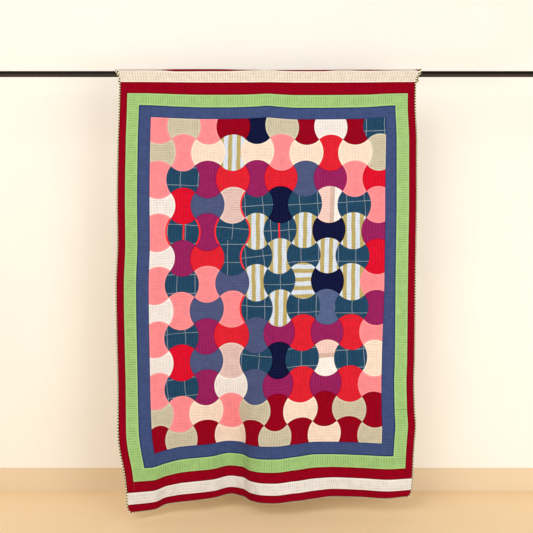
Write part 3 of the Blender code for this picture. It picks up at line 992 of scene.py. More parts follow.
PATCH_FINISHES: dict[Fabric, ClothFinish] = {
    Fabric.PINK: ClothFinish("pink_cotton", (250, 140, 148), (252, 149, 156), thread=(255, 226, 214),
                             shade=0.32),
    Fabric.SAGE: ClothFinish("sage_cotton", (199, 192, 169), (209, 203, 180), shade=0.32),
    Fabric.CREAM: ClothFinish("cream_cotton_patch", (241, 220, 203), (247, 229, 213), shade=0.24),
    Fabric.WHITE: ClothFinish("white_cotton", (234, 229, 228), (240, 235, 233), shade=0.26),
    Fabric.MAROON: ClothFinish("maroon_cotton_patch", (147, 0, 28), (139, 0, 26), thread=(205, 90, 100)),
    Fabric.NAVY: ClothFinish("navy_cotton", (15, 20, 60), (11, 16, 52), thread=(90, 100, 150), shade=0.50),
    Fabric.DENIM: WindowpaneFinish("denim_check", (31, 70, 101), (31, 70, 101), thread=(110, 145, 170),
                                   thread_show=0.22, shade=0.50, mottle=0.22),
    Fabric.RED: ClothFinish("red_cotton", (221, 32, 50), (218, 30, 46), thread=(250, 150, 140)),
    Fabric.CRIMSON: ClothFinish("crimson_cotton", (218, 12, 45), (212, 8, 40), thread=(250, 140, 140)),
    Fabric.PURPLE: ClothFinish("purple_cotton", (149, 30, 96), (144, 28, 90), thread=(225, 140, 185),
                               thread_show=0.16, shade=0.48, bars=0.0),
    Fabric.SLATE: ClothFinish("slate_cotton", (76, 88, 131), (71, 82, 126), thread=(150, 158, 195),
                              shade=0.46),
    Fabric.BLUSH: ClothFinish("blush_cotton", (220, 191, 187), (228, 202, 197), shade=0.30),
    Fabric.STRIPE: StripedFinish("olive_stripe", (211, 224, 241), (211, 224, 241), shade=0.28),
    Fabric.BANDED: BandedFinish("rose_band", (246, 238, 236), (246, 238, 236), shade=0.24),
    Fabric.BLOCK: ClothFinish("faded_slate_cotton", (85, 101, 146), (80, 96, 141), thread=(160, 170, 200),
                              shade=0.46),
}

BLUE_COTTON = ClothFinish("blue_border", (64, 81, 129), (55, 72, 124), outer_rim=(36, 56, 108),
                          thread=(140, 155, 195), shade=0.46, bars=1.0)
GREEN_COTTON = ClothFinish("green_border", (158, 200, 126), (170, 210, 135), outer_rim=(169, 210, 141),
                           thread=(225, 235, 195), shade=0.42, bars=1.0)
GREEN_PIECED = replace(GREEN_COTTON, name="green_border_pieced", join_drop=GREEN_JOIN_DROP)
MAROON_COTTON = ClothFinish("maroon_border", (147, 0, 28), (128, 0, 18), thread=(190, 60, 78), bars=1.0)
CREAM_COTTON = ClothFinish("cream_band", (232, 221, 205), (243, 234, 220), thread=(205, 175, 145),
                           stitch_length=12.5 * MM, shade=0.36, bars=1.0)
PALE_COTTON = ClothFinish("pale_band", (234, 230, 226), (241, 237, 232), thread=(215, 190, 180),
                          row_pitch=13.5 * MM, stitch_length=9.0 * MM, shade=0.34, bars=0.45)
BACKING_COTTON = ClothFinish("backing_cotton", (236, 222, 200), (236, 222, 200), thread=(170, 60, 70),
                             thread_show=0.5)
PIPING_DARK = ClothFinish("piping_dark_green", (12, 44, 20), (12, 44, 20), thread_show=0.0, shade=0.0)
PIPING_PALE = ClothFinish("piping_pale_yellow", (250, 242, 205), (250, 242, 205), thread_show=0.0, shade=0.0)
STRIP_RED = ClothFinish("red_seam_strip", (252, 44, 44), (252, 44, 44), thread_show=0.0, shade=0.0)

PATCH_CHART = (
    "pink sage pink maroon navy sage maroon white maroon denim",
    "sage pink cream stripe cream pink cream red cream sage",
    "pink denim purple red purple red slate purple pink crimson",
    "white crimson slate blush denim navy denim banded denim pink",
    "pink denim purple denim stripe denim stripe navy stripe purple",
    "white purple red denim denim stripe denim stripe denim crimson",
    "pink denim pink slate stripe denim stripe navy stripe pink",
    "white pink slate pink denim stripe denim block denim purple",
    "pink denim purple red slate purple red purple red pink",
    "white crimson slate blush denim navy denim banded denim cream",
    "pink denim purple white slate purple red purple red pink",
    "sage pink cream pink sage maroon cream maroon sage maroon",
    "maroon sage maroon cream maroon sage maroon cream maroon sage",
)


class PrintRow(NamedTuple):
    """Where a woven line or stripe crosses one patch.

    `across` and `down` are in millimetres from the middle of the patch, and `turn` is in degrees.
    """

    row: int
    column: int
    across: float = 0.0
    down: float = 0.0
    turn: float = 0.0


PRINT_ROWS = read_table(PrintRow, """
    row  column  across  down  turn
      1      10      25    24     1
      2       4     -14     0     1
      3       2     -12    29     2
      4       5      29     5    -4
      4       7     -25     0    -3
      4       8      12     0     2
      4       9      51   -13    -4
      5       2      12   -34     3
      5       4       0   -15     5
      5       5       6     0     0
      5       6     -44     0    -2
      5       7       3     0     1
      5       9       0     0    -1
      6       4     -24    25     0
      6       5      34     0    -7
      6       6       2     0     0
      6       7     -12    31    -2
      6       8      14     0     1
      6       9      17    26     0
      7       2     -24   -44     1
      7       5     -13     0    -1
      7       6       5    15     1
      7       7      -4     0    90
      7       9       6     0     0
      8       5     -46   -12     1
      8       6     -14     0     1
      8       7     -22    29     0
      8       9       3    29     0
      9       2      19   -19    -2
     10       5      16   -24     3
     10       7      -5   -50    -1
     10       8     -11     0    87
     10       9     -20   -38    -4
     11       2      17    39    -5
""")


class SeamColumn(NamedTuple):
    """Places across of one upright seam at four of the level seams, in millimetres."""

    top: float
    middle: float
    low: float
    bottom: float


SEAM_COLUMNS = read_table(SeamColumn, """
     top  middle   low  bottom
    -590    -590  -590    -590
    -465    -471  -480    -488
    -348    -352  -357    -382
    -226    -232  -236    -250
    -107    -108  -115    -122
      11       1     5      -4
     129     115   109     109
     248     232   231     239
     365     351   347     351
     482     472   473     475
     592     592   592     592
""")


class SeamRow(NamedTuple):
    """Drops of one level seam at the four places across in ROW_PLACES, in millimetres."""

    left: float
    inner_left: float
    inner_right: float
    right: float


ROW_PLACES = (-350.0, -170.0, 55.0, 360.0)

SEAM_ROWS = read_table(SeamRow, """
      left  inner_left  inner_right   right
       189         189          189     189
       315         317          316     315
       451         448          448   447.5
     581.5       578.5          575     574
       704         701          702     701
       829         831          820   828.5
       952         953        939.5     948
    1075.5        1080       1062.5  1076.5
      1204        1208         1189  1196.5
      1326        1330         1314    1318
      1451        1452         1443    1444
      1574        1577         1568  1568.5
      1700        1697         1694    1692
      1825        1823         1821    1818
""")

ROW_COUNT = len(PATCH_CHART)
COLUMN_COUNT = len(SEAM_COLUMNS) - 1
COLUMN_LEVELS = (1, 6, 11, 13)


class StripPlace(NamedTuple):
    """An upright seam with a bright red strip let into it: `after` is the column on its left."""

    row: int
    after: int


STRIP_PLACES = (
    StripPlace(row=4, after=4),
    StripPlace(row=5, after=1),
    StripPlace(row=5, after=2),
    StripPlace(row=5, after=3),
    StripPlace(row=5, after=4),
    StripPlace(row=6, after=4),
    StripPlace(row=8, after=4),
)


class Stay(NamedTuple):
    """A bright red strip sewn down the inside of a patch, in millimetres from the patch's middle."""

    row: int
    column: int
    top_across: float
    bottom_across: float
    half_length: float


STAYS = (
    Stay(row=5, column=2, top_across=4, bottom_across=1, half_length=40),
    Stay(row=5, column=6, top_across=-6, bottom_across=-3, half_length=38),
)


WELD_REACH = 0.01 * MM


class SheetMesh:
    """Gathers grids of points into one closed sheet of cloth with its maps."""

    def __init__(self, name: str, row_turn: float = 0.0) -> None:
        """Start an empty sheet.

        Args:
            name: the object's name.
            row_turn: above 0 where the rows of stitches follow the quilt's side, below 0 where they follow
                its end, and 0 where they follow the nearer of the two.
        """
        self.name = name
        self.row_turn = row_turn
        self.points: list[Array] = []
        self.flat_map: list[Array] = []
        self.print_map: list[Array] = []
        self.distance: list[Array] = []
        self.outer: list[Array] = []
        self.faces: list[tuple[int, ...]] = []
        self.face_finish: list[int] = []
        self.face_smooth: list[bool] = []
        self.finishes: list[ClothFinish] = []
        self.count = 0

    def finish_index(self, finish: ClothFinish) -> int:
        """Index of a finish among the sheet's materials."""
        if finish not in self.finishes:
            self.finishes.append(finish)
        return self.finishes.index(finish)

    def add_points(self, points: Array, flat_map: Array, print_map: Array,
                   distance: Array | float = FAR_FROM_SEAMS, outer: Array | float = 0.0) -> Array:
        """Add points with their maps.

        Args:
            points: XYZ in the last axis.
            flat_map: place on the flat quilt, in metres.
            print_map: place on the woven or printed pattern, in metres.
            distance: distance from the nearest seam, in metres.
            outer: 1 where that seam is a border strip's outer one, or else 0.

        Returns:
            The points' indices, in the shape that they were given.
        """
        shape = points.shape[:-1]
        size = int(np.prod(shape))
        self.points.append(points.reshape(size, 3))
        self.flat_map.append(np.broadcast_to(flat_map, shape + (2,)).reshape(size, 2))
        self.print_map.append(np.broadcast_to(print_map, shape + (2,)).reshape(size, 2))
        self.distance.append(np.broadcast_to(distance, shape).reshape(size))
        self.outer.append(np.broadcast_to(outer, shape).reshape(size))
        indices = np.arange(self.count, self.count + size).reshape(shape)
        self.count += size
        return indices

    def add_faces(self, grid: Array, finish: ClothFinish, flip: bool = False) -> None:
        """Fill a grid of indices with quads that face the front, or the back if flipped."""
        a, b = grid[:-1, :-1], grid[1:, :-1]
        c, d = grid[1:, 1:], grid[:-1, 1:]
        corners = (a, d, c, b) if flip else (a, b, c, d)
        quads = np.stack([part.ravel() for part in corners], axis=-1)
        self.faces += [tuple(quad) for quad in quads.tolist()]
        self.face_finish += [self.finish_index(finish)] * len(quads)
        self.face_smooth += [True] * len(quads)

    def add_wall(self, front: Sequence[int], back: Sequence[int], finish: ClothFinish) -> None:
        """Close the rim between a run of front points and the back points under its ends."""
        self.faces.append(tuple(int(i) for i in front[::-1]) + tuple(int(i) for i in back))
        self.face_finish.append(self.finish_index(finish))
        self.face_smooth.append(False)

    def add_rim(self, front: Array, back: Array, finish: ClothFinish) -> None:
        """Close the whole rim between two grids of the same shape."""
        rims = (
            (front[0, ::-1], back[0, ::-1]),
            (front[:, 0], back[:, 0]),
            (front[-1], back[-1]),
            (front[::-1, -1], back[::-1, -1]),
        )
        for upper, lower in rims:
            for i in range(len(upper) - 1):
                self.add_wall(upper[i:i + 2], lower[i:i + 2], finish)

    def add_object(self) -> bpy.types.Object:
        """Weld the points and make the object.

        Returns:
            The new object, linked to the scene.
        """
        points = np.concatenate(self.points)
        keys = np.round(points / WELD_REACH).astype(np.int64)
        _, first, welded = np.unique(keys, axis=0, return_index=True, return_inverse=True)
        welded = welded.ravel()
        faces = [tuple(int(welded[i]) for i in face) for face in self.faces]
        mesh = bpy.data.meshes.new(self.name)
        mesh.from_pydata(points[first].tolist(), [], faces)
        loops = np.concatenate([np.asarray(face) for face in self.faces])
        for name, parts in (("flat", self.flat_map), ("print", self.print_map)):
            layer = mesh.uv_layers.new(name=name)
            layer.data.foreach_set("uv", np.concatenate(parts)[loops].ravel().astype(np.float32))
        values_by_name = {
            "seam_distance": self.distance,
            "outer_seam": self.outer,
            "row_turn": [np.full(self.count, self.row_turn)],
        }
        for name, parts in values_by_name.items():
            values = mesh.attributes.new(name, "FLOAT", "POINT")
            values.data.foreach_set("value", np.concatenate(parts)[first].astype(np.float32))
        for finish in self.finishes:
            mesh.materials.append(finish.material())
        mesh.polygons.foreach_set("material_index", self.face_finish)
        mesh.polygons.foreach_set("use_smooth", self.face_smooth)
        mesh.update()
        return add_to_scene(self.name, mesh)


def quilting_rows(across: Array, drop: Array) -> tuple[Array, Array, Array]:
    """Distances in from the quilt's nearest side and end, and how far the rows follow the side.

    The rows of stitches run round the quilt, so they turn where a place is nearer an end than a side.
    """
    from_side = np.minimum(across + LEFT_HALF, RIGHT_HALF - across)
    from_end = np.minimum(drop - QUILTING_TOP, DROP_HEM - drop)
    return from_side, from_end, smooth_step(0.5 + (from_end - from_side) / ROW_TURN)


@dataclass(frozen=True)
class Relief:
    """Height of the quilted front over its plain surface.

    Attributes:
        groove: depth of a seam.
        groove_reach: distance over which the cloth comes up out of a seam.
        puff: how far the unquilted rim stands up.
        rim: width of the rim.
        pucker: height of the ripples between rows of stitches.
        row_pitch: distance from ripple to ripple across the rows.
        gather_pitch: distance from gather to gather along a row.
        long_waver: distance over which the rows waver slowly.
        short_waver: distance over which they waver fast.
        waver_drift: distance across the rows over which the fast waver shifts.
        gather_drift: distance across the rows over which the gathers shift.
    """

    groove: float = 0.9 * MM
    groove_reach: float = 2.4 * MM
    puff: float = 0.45 * MM
    rim: float = 6.5 * MM
    pucker: float = 0.30 * MM
    row_pitch: float = 18 * MM
    gather_pitch: float = 25 * MM
    long_waver: float = 31 * MM
    short_waver: float = 13 * MM
    waver_drift: float = 90 * MM
    gather_drift: float = 23 * MM

    def ripples(self, along: Array, cross: Array) -> Array:
        """Uneven ripples between rows of stitches, from -1 to 1."""
        waver = 0.8 * np.sin(along / self.long_waver)
        waver = waver + 0.5 * np.sin(along / self.short_waver + cross / self.waver_drift)
        shift = 1.3 * np.sin(cross / self.gather_drift)
        rows = np.cos(2.0 * np.pi * cross / self.row_pitch + waver)
        gathers = np.cos(2.0 * np.pi * along / self.gather_pitch + shift)
        return 0.5 * rows + 0.5 * gathers

    def height(self, across: Array, drop: Array, distance: Array) -> Array:
        """Height out of the plain surface.

        Args:
            across: flat places across.
            drop: flat places down.
            distance: distance from the nearest seam.

        Returns:
            The heights, in the shape of `distance`.
        """
        seam = -self.groove * np.exp(-((distance / self.groove_reach) ** 2))
        rim = self.puff * np.sin(np.pi * np.clip(distance / (2.0 * self.rim), 0.0, 1.0)) ** 2
        from_side, from_end, by_side = quilting_rows(across, drop)
        ripples = by_side * self.ripples(drop, from_side) + (1.0 - by_side) * self.ripples(across, from_end)
        inside = smooth_step((distance - 0.6 * self.rim) / self.rim)
        return seam + rim + self.pucker * inside * ripples


class Place(Enum):
    """Where a strip of cloth lies on the quilt."""

    LEFT = "left"
    RIGHT = "right"
    TOP = "top"
    BOTTOM = "bottom"
    FULL_WIDTH = "full width"


LINES_NEAR_SEAM = (0.0, 1.2 * MM, 2.8 * MM, 5.0 * MM)


@dataclass
class ClothPiece:
    """One piece of cloth that is cut as a strip: its flat place, its finish and its sewing.

    Attributes:
        name: the object's name.
        node: the CAD node that it stands for.
        slot: the record's material slot.
        finish: the cloth of its front.
        across: flat places of its two sides.
        drop: drops of its two ends.
        hangs_from: the piece or node that carries it.
        place: which side of the quilt it runs along.
        inner: for a side strip, the drops between which its inner seam borders another colour.
        cell: size of its mesh's cells.
        relief: the height of its quilting.
    """

    name: str
    node: str
    slot: str
    finish: ClothFinish
    across: tuple[float, float]
    drop: tuple[float, float]
    hangs_from: str
    place: Place = Place.FULL_WIDTH
    inner: tuple[float, float] = (0.0, 0.0)
    cell: float = 6.0 * MM
    relief: Relief = Relief()

    @staticmethod
    def lines(first: float, last: float, cell: float) -> Array:
        """Mesh lines between two seams, closer together beside each seam."""
        first, last = first + PIECE_GAP / 2, last - PIECE_GAP / 2
        length = last - first
        near = np.array(LINES_NEAR_SEAM)
        count = max(int((length - 2 * near[-1]) / cell), 2)
        middle = np.linspace(near[-1], length - near[-1], count + 1)
        return first + np.concatenate([near[:-1], middle, length - near[-2::-1]])

    def seams(self, across: Array, drop: Array) -> tuple[Array, Array]:
        """Distances from its outer seams and from its inner ones, seams within one colour left out."""
        left, right = across - self.across[0], self.across[1] - across
        top, bottom = drop - self.drop[0], self.drop[1] - drop
        if self.place is Place.FULL_WIDTH:
            ends = np.minimum(top, bottom)
            return ends, ends
        if self.place is Place.TOP:
            return top, bottom
        if self.place is Place.BOTTOM:
            return bottom, top
        outer, inner = (left, right) if self.place is Place.LEFT else (right, left)
        beyond = np.maximum(np.maximum(self.inner[0] - drop, drop - self.inner[1]), 0.0)
        inner = np.hypot(inner, beyond)
        return np.minimum(outer, np.minimum(top, bottom)), inner

    def build(self, surface: ClothSurface) -> bpy.types.Object:
        """Make the closed sheet.

        Args:
            surface: the hanging surface that carries it.

        Returns:
            The new object.
        """
        across, drop = np.meshgrid(self.lines(*self.across, self.cell), self.lines(*self.drop, self.cell))
        outer, inner = self.seams(across, drop)
        distance = np.minimum(outer, inner)
        place = edge_across(across, drop)
        half = CLOTH_THICKNESS / 2
        raised = half + self.relief.height(across, drop, distance)
        flat_map = np.stack([across, drop], axis=-1)
        follows_side = self.place in (Place.LEFT, Place.RIGHT)
        sheet = SheetMesh(self.name, ROWS_FOLLOW_SIDE if follows_side else ROWS_FOLLOW_END)
        front = sheet.add_points(surface.raised(place, drop, raised), flat_map, flat_map, distance,
                                 (outer < inner).astype(float))
        back = sheet.add_points(surface.raised(place, drop, -half), flat_map, flat_map, distance)
        sheet.add_faces(front, self.finish)
        sheet.add_faces(back, BACKING_COTTON, flip=True)
        sheet.add_rim(front, back, self.finish)
        item = sheet.add_object()
        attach(item, "root")
        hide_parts(self.node)
        return item

    def declare(self, item: bpy.types.Object) -> None:
        """Does nothing."""


def seam_arc(start: Array, end: Array, bulge: float, share: Array) -> Array:
    """Points of a circular arc on the flat cloth.

    Args:
        start: flat place of its first end.
        end: flat place of its second end.
        bulge: how far its middle stands off the chord, to the right of the way it runs on the drop axis.
        share: places along it, from 0 to 1.

    Returns:
        Flat places with (across, drop) in the last axis.
    """
    chord = end - start
    length = float(np.hypot(*chord))
    rise = abs(bulge)
    radius = (length**2 / 4.0 + rise**2) / (2.0 * rise)
    off = np.sqrt(radius**2 - (length * (share - 0.5)) ** 2) - (radius - rise)
    side = np.array([-chord[1], chord[0]]) / length * np.sign(bulge)
    return start + share[..., None] * chord + off[..., None] * side


def end_of(side: Array | None, end: int) -> Array | None:
    """The first (0) or last (-1) place of a patch's side, or None where there is no such seam."""
    return None if side is None else side[end]


def first_given(*choices: Array | None) -> Array:
    """The first of the choices that isn't None."""
    return next(choice for choice in choices if choice is not None)


SHARES_NEAR_SEAM = (0.0, 0.012, 0.030, 0.055)
FINE_SHARES = np.linspace(0.0, 1.0, 401)


@dataclass
class PatchworkPanel:
    """The quilted centre: rows of patches with curved sides, alternately tall and wide.

    Attributes:
        surface: the hanging surface that carries it.
        bulge_up: how far a level seam stands up out of its chord.
        bulge_down: how far a level seam hangs down from its chord.
        bulge_side: how far an upright seam stands off its chord.
        inner_cells: cells across a patch between the close lines beside its seams.
        back_step: how many of the front's cells make one of the back's.
        relief: the height of its quilting.
        seed: seed of the grid's small unevenness.
        jitter: size of that unevenness.
        stations: shares along a patch's side at which its mesh has lines.
        corners: flat places of the grid's corners.
    """

    surface: ClothSurface
    bulge_up: float = 24.5 * MM
    bulge_down: float = 27.5 * MM
    bulge_side: float = 22 * MM
    inner_cells: int = 16
    back_step: int = 4
    relief: Relief = Relief()
    seed: int = 11
    jitter: float = 1.6 * MM
    stations: Array = field(init=False)
    corners: Array = field(init=False)

    def __post_init__(self) -> None:
        """Work out the stations along a patch's side and the grid's corners."""
        near = np.array(SHARES_NEAR_SEAM)
        middle = np.linspace(near[-1], 1.0 - near[-1], self.inner_cells + 1)
        self.stations = np.concatenate([near[:-1], middle, 1.0 - near[-2::-1]])
        self.corners = self.grid_corners()

    def grid_corners(self) -> Array:
        """Flat places of the grid's corners, by level seam and upright seam, a little uneven inside."""
        corners = np.zeros((ROW_COUNT + 1, COLUMN_COUNT + 1, 2))
        for c, column in enumerate(SEAM_COLUMNS):
            corners[:, c, 0] = np.interp(np.arange(ROW_COUNT + 1), COLUMN_LEVELS, column)
        for r, row in enumerate(SEAM_ROWS):
            corners[r, :, 1] = np.interp(corners[r, :, 0], ROW_PLACES, row)
        corners *= MM
        inside = corners[1:-1, 1:-1]
        inside += np.random.default_rng(self.seed).normal(0.0, self.jitter, inside.shape)
        return corners

    def level_arc(self, seam: int, column: int, share: Array) -> Array:
        """Flat places along the seam under row `seam` in a column."""
        bulge = self.bulge_down if (seam + column) % 2 == 0 else -self.bulge_up
        return seam_arc(self.corners[seam, column - 1], self.corners[seam, column], bulge, share)

    def upright_arc(self, row: int, seam: int, share: Array) -> Array:
        """Flat places along the seam right of column `seam` in a row."""
        bulge = self.bulge_side if (row + seam) % 2 == 0 else -self.bulge_side
        return seam_arc(self.corners[row - 1, seam], self.corners[row, seam], bulge, share)

    @staticmethod
    def trimmed(arc: Array, axis: int, edge: float) -> float:
        """Share along a finely sampled arc at which it crosses the panel's edge."""
        return float(np.interp(edge, arc[:, axis], FINE_SHARES))

    def level_side(self, seam: int, column: int) -> Array:
        """A level seam on the stations, trimmed at the panel's sides."""
        fine = self.level_arc(seam, column, FINE_SHARES)
        start = self.trimmed(fine, 0, CUT_LEFT) if column == 1 else 0.0
        end = self.trimmed(fine, 0, CUT_RIGHT) if column == COLUMN_COUNT else 1.0
        return self.level_arc(seam, column, start + (end - start) * self.stations)

    def upright_side(self, row: int, seam: int) -> Array:
        """An upright seam on the stations, trimmed at the panel's top and bottom."""
        fine = self.upright_arc(row, seam, FINE_SHARES)
        start = self.trimmed(fine, 1, CUT_TOP) if row == 1 else 0.0
        end = self.trimmed(fine, 1, CUT_BOTTOM) if row == ROW_COUNT else 1.0
        return self.upright_arc(row, seam, start + (end - start) * self.stations)

    def patch_places(self, row: int, column: int) -> Array:
        """Flat places of a patch's mesh, from its four sides.

        Args:
            row: the patch's row, from 1.
            column: the patch's column, from 1.

        Returns:
            Places in the axes down, across and (across, drop).
        """
        top = self.level_side(row - 1, column) if row > 1 else None
        bottom = self.level_side(row, column) if row < ROW_COUNT else None
        left = self.upright_side(row, column - 1) if column > 1 else None
        right = self.upright_side(row, column) if column < COLUMN_COUNT else None
        panel_corners = np.array([[CUT_LEFT, CUT_TOP], [CUT_RIGHT, CUT_TOP],
                                  [CUT_LEFT, CUT_BOTTOM], [CUT_RIGHT, CUT_BOTTOM]])
        upper_left = first_given(end_of(top, 0), end_of(left, 0), panel_corners[0])
        upper_right = first_given(end_of(top, -1), end_of(right, 0), panel_corners[1])
        lower_left = first_given(end_of(bottom, 0), end_of(left, -1), panel_corners[2])
        lower_right = first_given(end_of(bottom, -1), end_of(right, -1), panel_corners[3])
        share = self.stations[:, None]
        top = first_given(top, upper_left + share * (upper_right - upper_left))
        bottom = first_given(bottom, lower_left + share * (lower_right - lower_left))
        left = first_given(left, upper_left + share * (lower_left - upper_left))
        right = first_given(right, upper_right + share * (lower_right - upper_right))
        s = self.stations[None, :, None]
        t = self.stations[:, None, None]
        between = (1.0 - t) * top[None] + t * bottom[None]
        between = between + (1.0 - s) * left[:, None] + s * right[:, None]
        corner_blend = (1.0 - t) * ((1.0 - s) * upper_left + s * upper_right)
        corner_blend = corner_blend + t * ((1.0 - s) * lower_left + s * lower_right)
        return between - corner_blend

    def seam_distance(self, places: Array) -> Array:
        """Distance of each point of a patch from the patch's nearest side."""
        wide = np.linalg.norm(places[:, -1] - places[:, 0], axis=-1)[:, None]
        tall = np.linalg.norm(places[-1] - places[0], axis=-1)[None, :]
        share = np.minimum(self.stations, 1.0 - self.stations)
        return np.minimum(share[None, :] * wide, share[:, None] * tall)

    def patch_print(self, row: int, column: int, places: Array) -> Array:
        """Places of a patch on its woven pattern, in metres."""
        middle = self.corners[row - 1:row + 1, column - 1:column + 1].mean(axis=(0, 1))
        found = [line for line in PRINT_ROWS if (line.row, line.column) == (row, column)]
        line = found[0] if found else PrintRow(row, column)
        turn = math.radians(line.turn)
        off = places - middle
        across = off[..., 0] * math.cos(turn) + off[..., 1] * math.sin(turn)
        down = off[..., 1] * math.cos(turn) - off[..., 0] * math.sin(turn)
        return np.stack([across - line.across * MM, down - line.down * MM], axis=-1)

    def build(self) -> bpy.types.Object:
        """Sew the patches into one closed sheet."""
        sheet = SheetMesh("patchwork")
        half = CLOTH_THICKNESS / 2
        last = len(self.stations) - 1
        near = len(SHARES_NEAR_SEAM) - 1
        inner = np.arange(near, last - near + 1, self.back_step)
        back_stations = np.concatenate([[0], inner, [last]])
        for row in range(1, ROW_COUNT + 1):
            names = PATCH_CHART[row - 1].split()
            for column in range(1, COLUMN_COUNT + 1):
                finish = PATCH_FINISHES[Fabric(names[column - 1])]
                places = self.patch_places(row, column)
                distance = self.seam_distance(places)
                across, drop = places[..., 0], places[..., 1]
                print_map = self.patch_print(row, column, places)
                height = half + self.relief.height(across, drop, distance)
                raised = self.surface.raised(across, drop, height)
                front = sheet.add_points(raised, places, print_map, distance)
                sheet.add_faces(front, finish)
                coarse = places[np.ix_(back_stations, back_stations)]
                behind = self.surface.raised(coarse[..., 0], coarse[..., 1], -half)
                back = sheet.add_points(behind, coarse, coarse)
                sheet.add_faces(back, BACKING_COTTON, flip=True)
                self.close_rim(sheet, row, column, front, back, back_stations, finish)
        item = sheet.add_object()
        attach(item, "root")
        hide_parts("patchwork_panel")
        return item

    @staticmethod
    def close_rim(sheet: SheetMesh, row: int, column: int, front: Array, back: Array, stations: Array,
                  finish: ClothFinish) -> None:
        """Close the sheet's rim where a patch lies at the panel's edge.

        Args:
            sheet: the sheet that the patch belongs to.
            row: the patch's row, from 1.
            column: the patch's column, from 1.
            front: indices of the front's points.
            back: indices of the back's points.
            stations: which of the front's lines the back has.
            finish: the patch's cloth.
        """
        sides = (
            (row == 1, front[0], back[0], True),
            (column == 1, front[:, 0], back[:, 0], False),
            (row == ROW_COUNT, front[-1], back[-1], False),
            (column == COLUMN_COUNT, front[:, -1], back[:, -1], True),
        )
        for at_edge, upper, lower, turned in sides:
            if not at_edge:
                continue
            for i, (start, end) in enumerate(zip(stations[:-1], stations[1:])):
                run, ends = upper[start:end + 1], lower[i:i + 2]
                if turned:
                    run, ends = run[::-1], ends[::-1]
                sheet.add_wall(run, ends, finish)

    def declare(self, item: bpy.types.Object, strips: bpy.types.Object) -> None:
        """Does nothing."""


@dataclass
class RedSeamStrips:
    """Bright red strips let into some upright seams and sewn down two patches.

    Attributes:
        panel: the patchwork that they are sewn to.
        half_width: half a strip's width.
        height: height of its crown over the cloth.
        depth: how far its underside lies in the cloth.
        steps: how many lines its mesh has along it.
        ends: shares of a seam between which a strip runs.
        lanes: places across the strip, in half widths.
        crown: height at each of them, in crown heights.
    """

    panel: PatchworkPanel
    half_width: float = 4.3 * MM
    height: float = 1.0 * MM
    depth: float = 1.2 * MM
    steps: int = 26
    ends: tuple[float, float] = (0.03, 0.97)
    lanes: tuple[float, ...] = (-1.0, -0.8, -0.35, 0.35, 0.8, 1.0)
    crown: tuple[float, ...] = (-0.6, 0.6, 1.0, 1.0, 0.6, -0.6)

    def ribbon(self, sheet: SheetMesh, line: Array) -> None:
        """Add one ribbon along a line of flat places.

        Args:
            sheet: the sheet that gathers the ribbons.
            line: flat places down the ribbon's middle.
        """
        tangent = np.gradient(line, axis=0)
        tangent /= np.linalg.norm(tangent, axis=1, keepdims=True)
        side = np.stack([-tangent[:, 1], tangent[:, 0]], axis=1)
        lanes = np.array(self.lanes) * self.half_width
        places = line[:, None] - side[:, None] * lanes[None, :, None]
        base = CLOTH_THICKNESS / 2
        heights = base + np.array(self.crown) * self.height
        top = self.panel.surface.raised(places[..., 0], places[..., 1], heights)
        under = self.panel.surface.raised(places[..., 0], places[..., 1], base - self.depth)
        front = sheet.add_points(top, places, places)
        back = sheet.add_points(under, places, places)
        sheet.add_faces(front, STRIP_RED)
        sheet.add_faces(back, STRIP_RED, flip=True)
        sheet.add_rim(front, back, STRIP_RED)

    def build(self) -> bpy.types.Object:
        """Make all the ribbons as one piece."""
        sheet = SheetMesh("red_seam_strips")
        share = np.linspace(*self.ends, self.steps)
        for place in STRIP_PLACES:
            self.ribbon(sheet, self.panel.upright_arc(place.row, place.after, share))
        for stay in STAYS:
            corners = self.panel.corners[stay.row - 1:stay.row + 1, stay.column - 1:stay.column + 1]
            middle = corners.mean(axis=(0, 1))
            top = middle + np.array([stay.top_across, -stay.half_length]) * MM
            bottom = middle + np.array([stay.bottom_across, stay.half_length]) * MM
            self.ribbon(sheet, top + share[:, None] * (bottom - top))
        item = sheet.add_object()
        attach(item, "root")
        return item


class SectionRow(NamedTuple):
    """One corner of the piping's section.

    `out` is in shares of the piping's reach, `behind` in shares of half the cloth's thickness and `before`
    in shares of how far the piping stands out in front.
    """

    out: float
    behind: float
    before: float


SECTION_ROWS = (
    SectionRow(out=0.00, behind=1.0, before=0.00),
    SectionRow(out=0.55, behind=1.0, before=0.00),
    SectionRow(out=0.90, behind=0.6, before=0.00),
    SectionRow(out=1.00, behind=0.0, before=0.05),
    SectionRow(out=0.92, behind=0.0, before=0.50),
    SectionRow(out=0.70, behind=0.0, before=0.86),
    SectionRow(out=0.42, behind=0.0, before=1.00),
    SectionRow(out=0.00, behind=0.0, before=0.72),
)
LEAST_REACH = 0.8 * PIECE_GAP
LEAST_MITRE = 0.6
SECTION_STEP = 2 * MM


def unit(vectors: Array) -> Array:
    """Vectors brought to length 1."""
    return vectors / np.linalg.norm(vectors, axis=-1, keepdims=True)


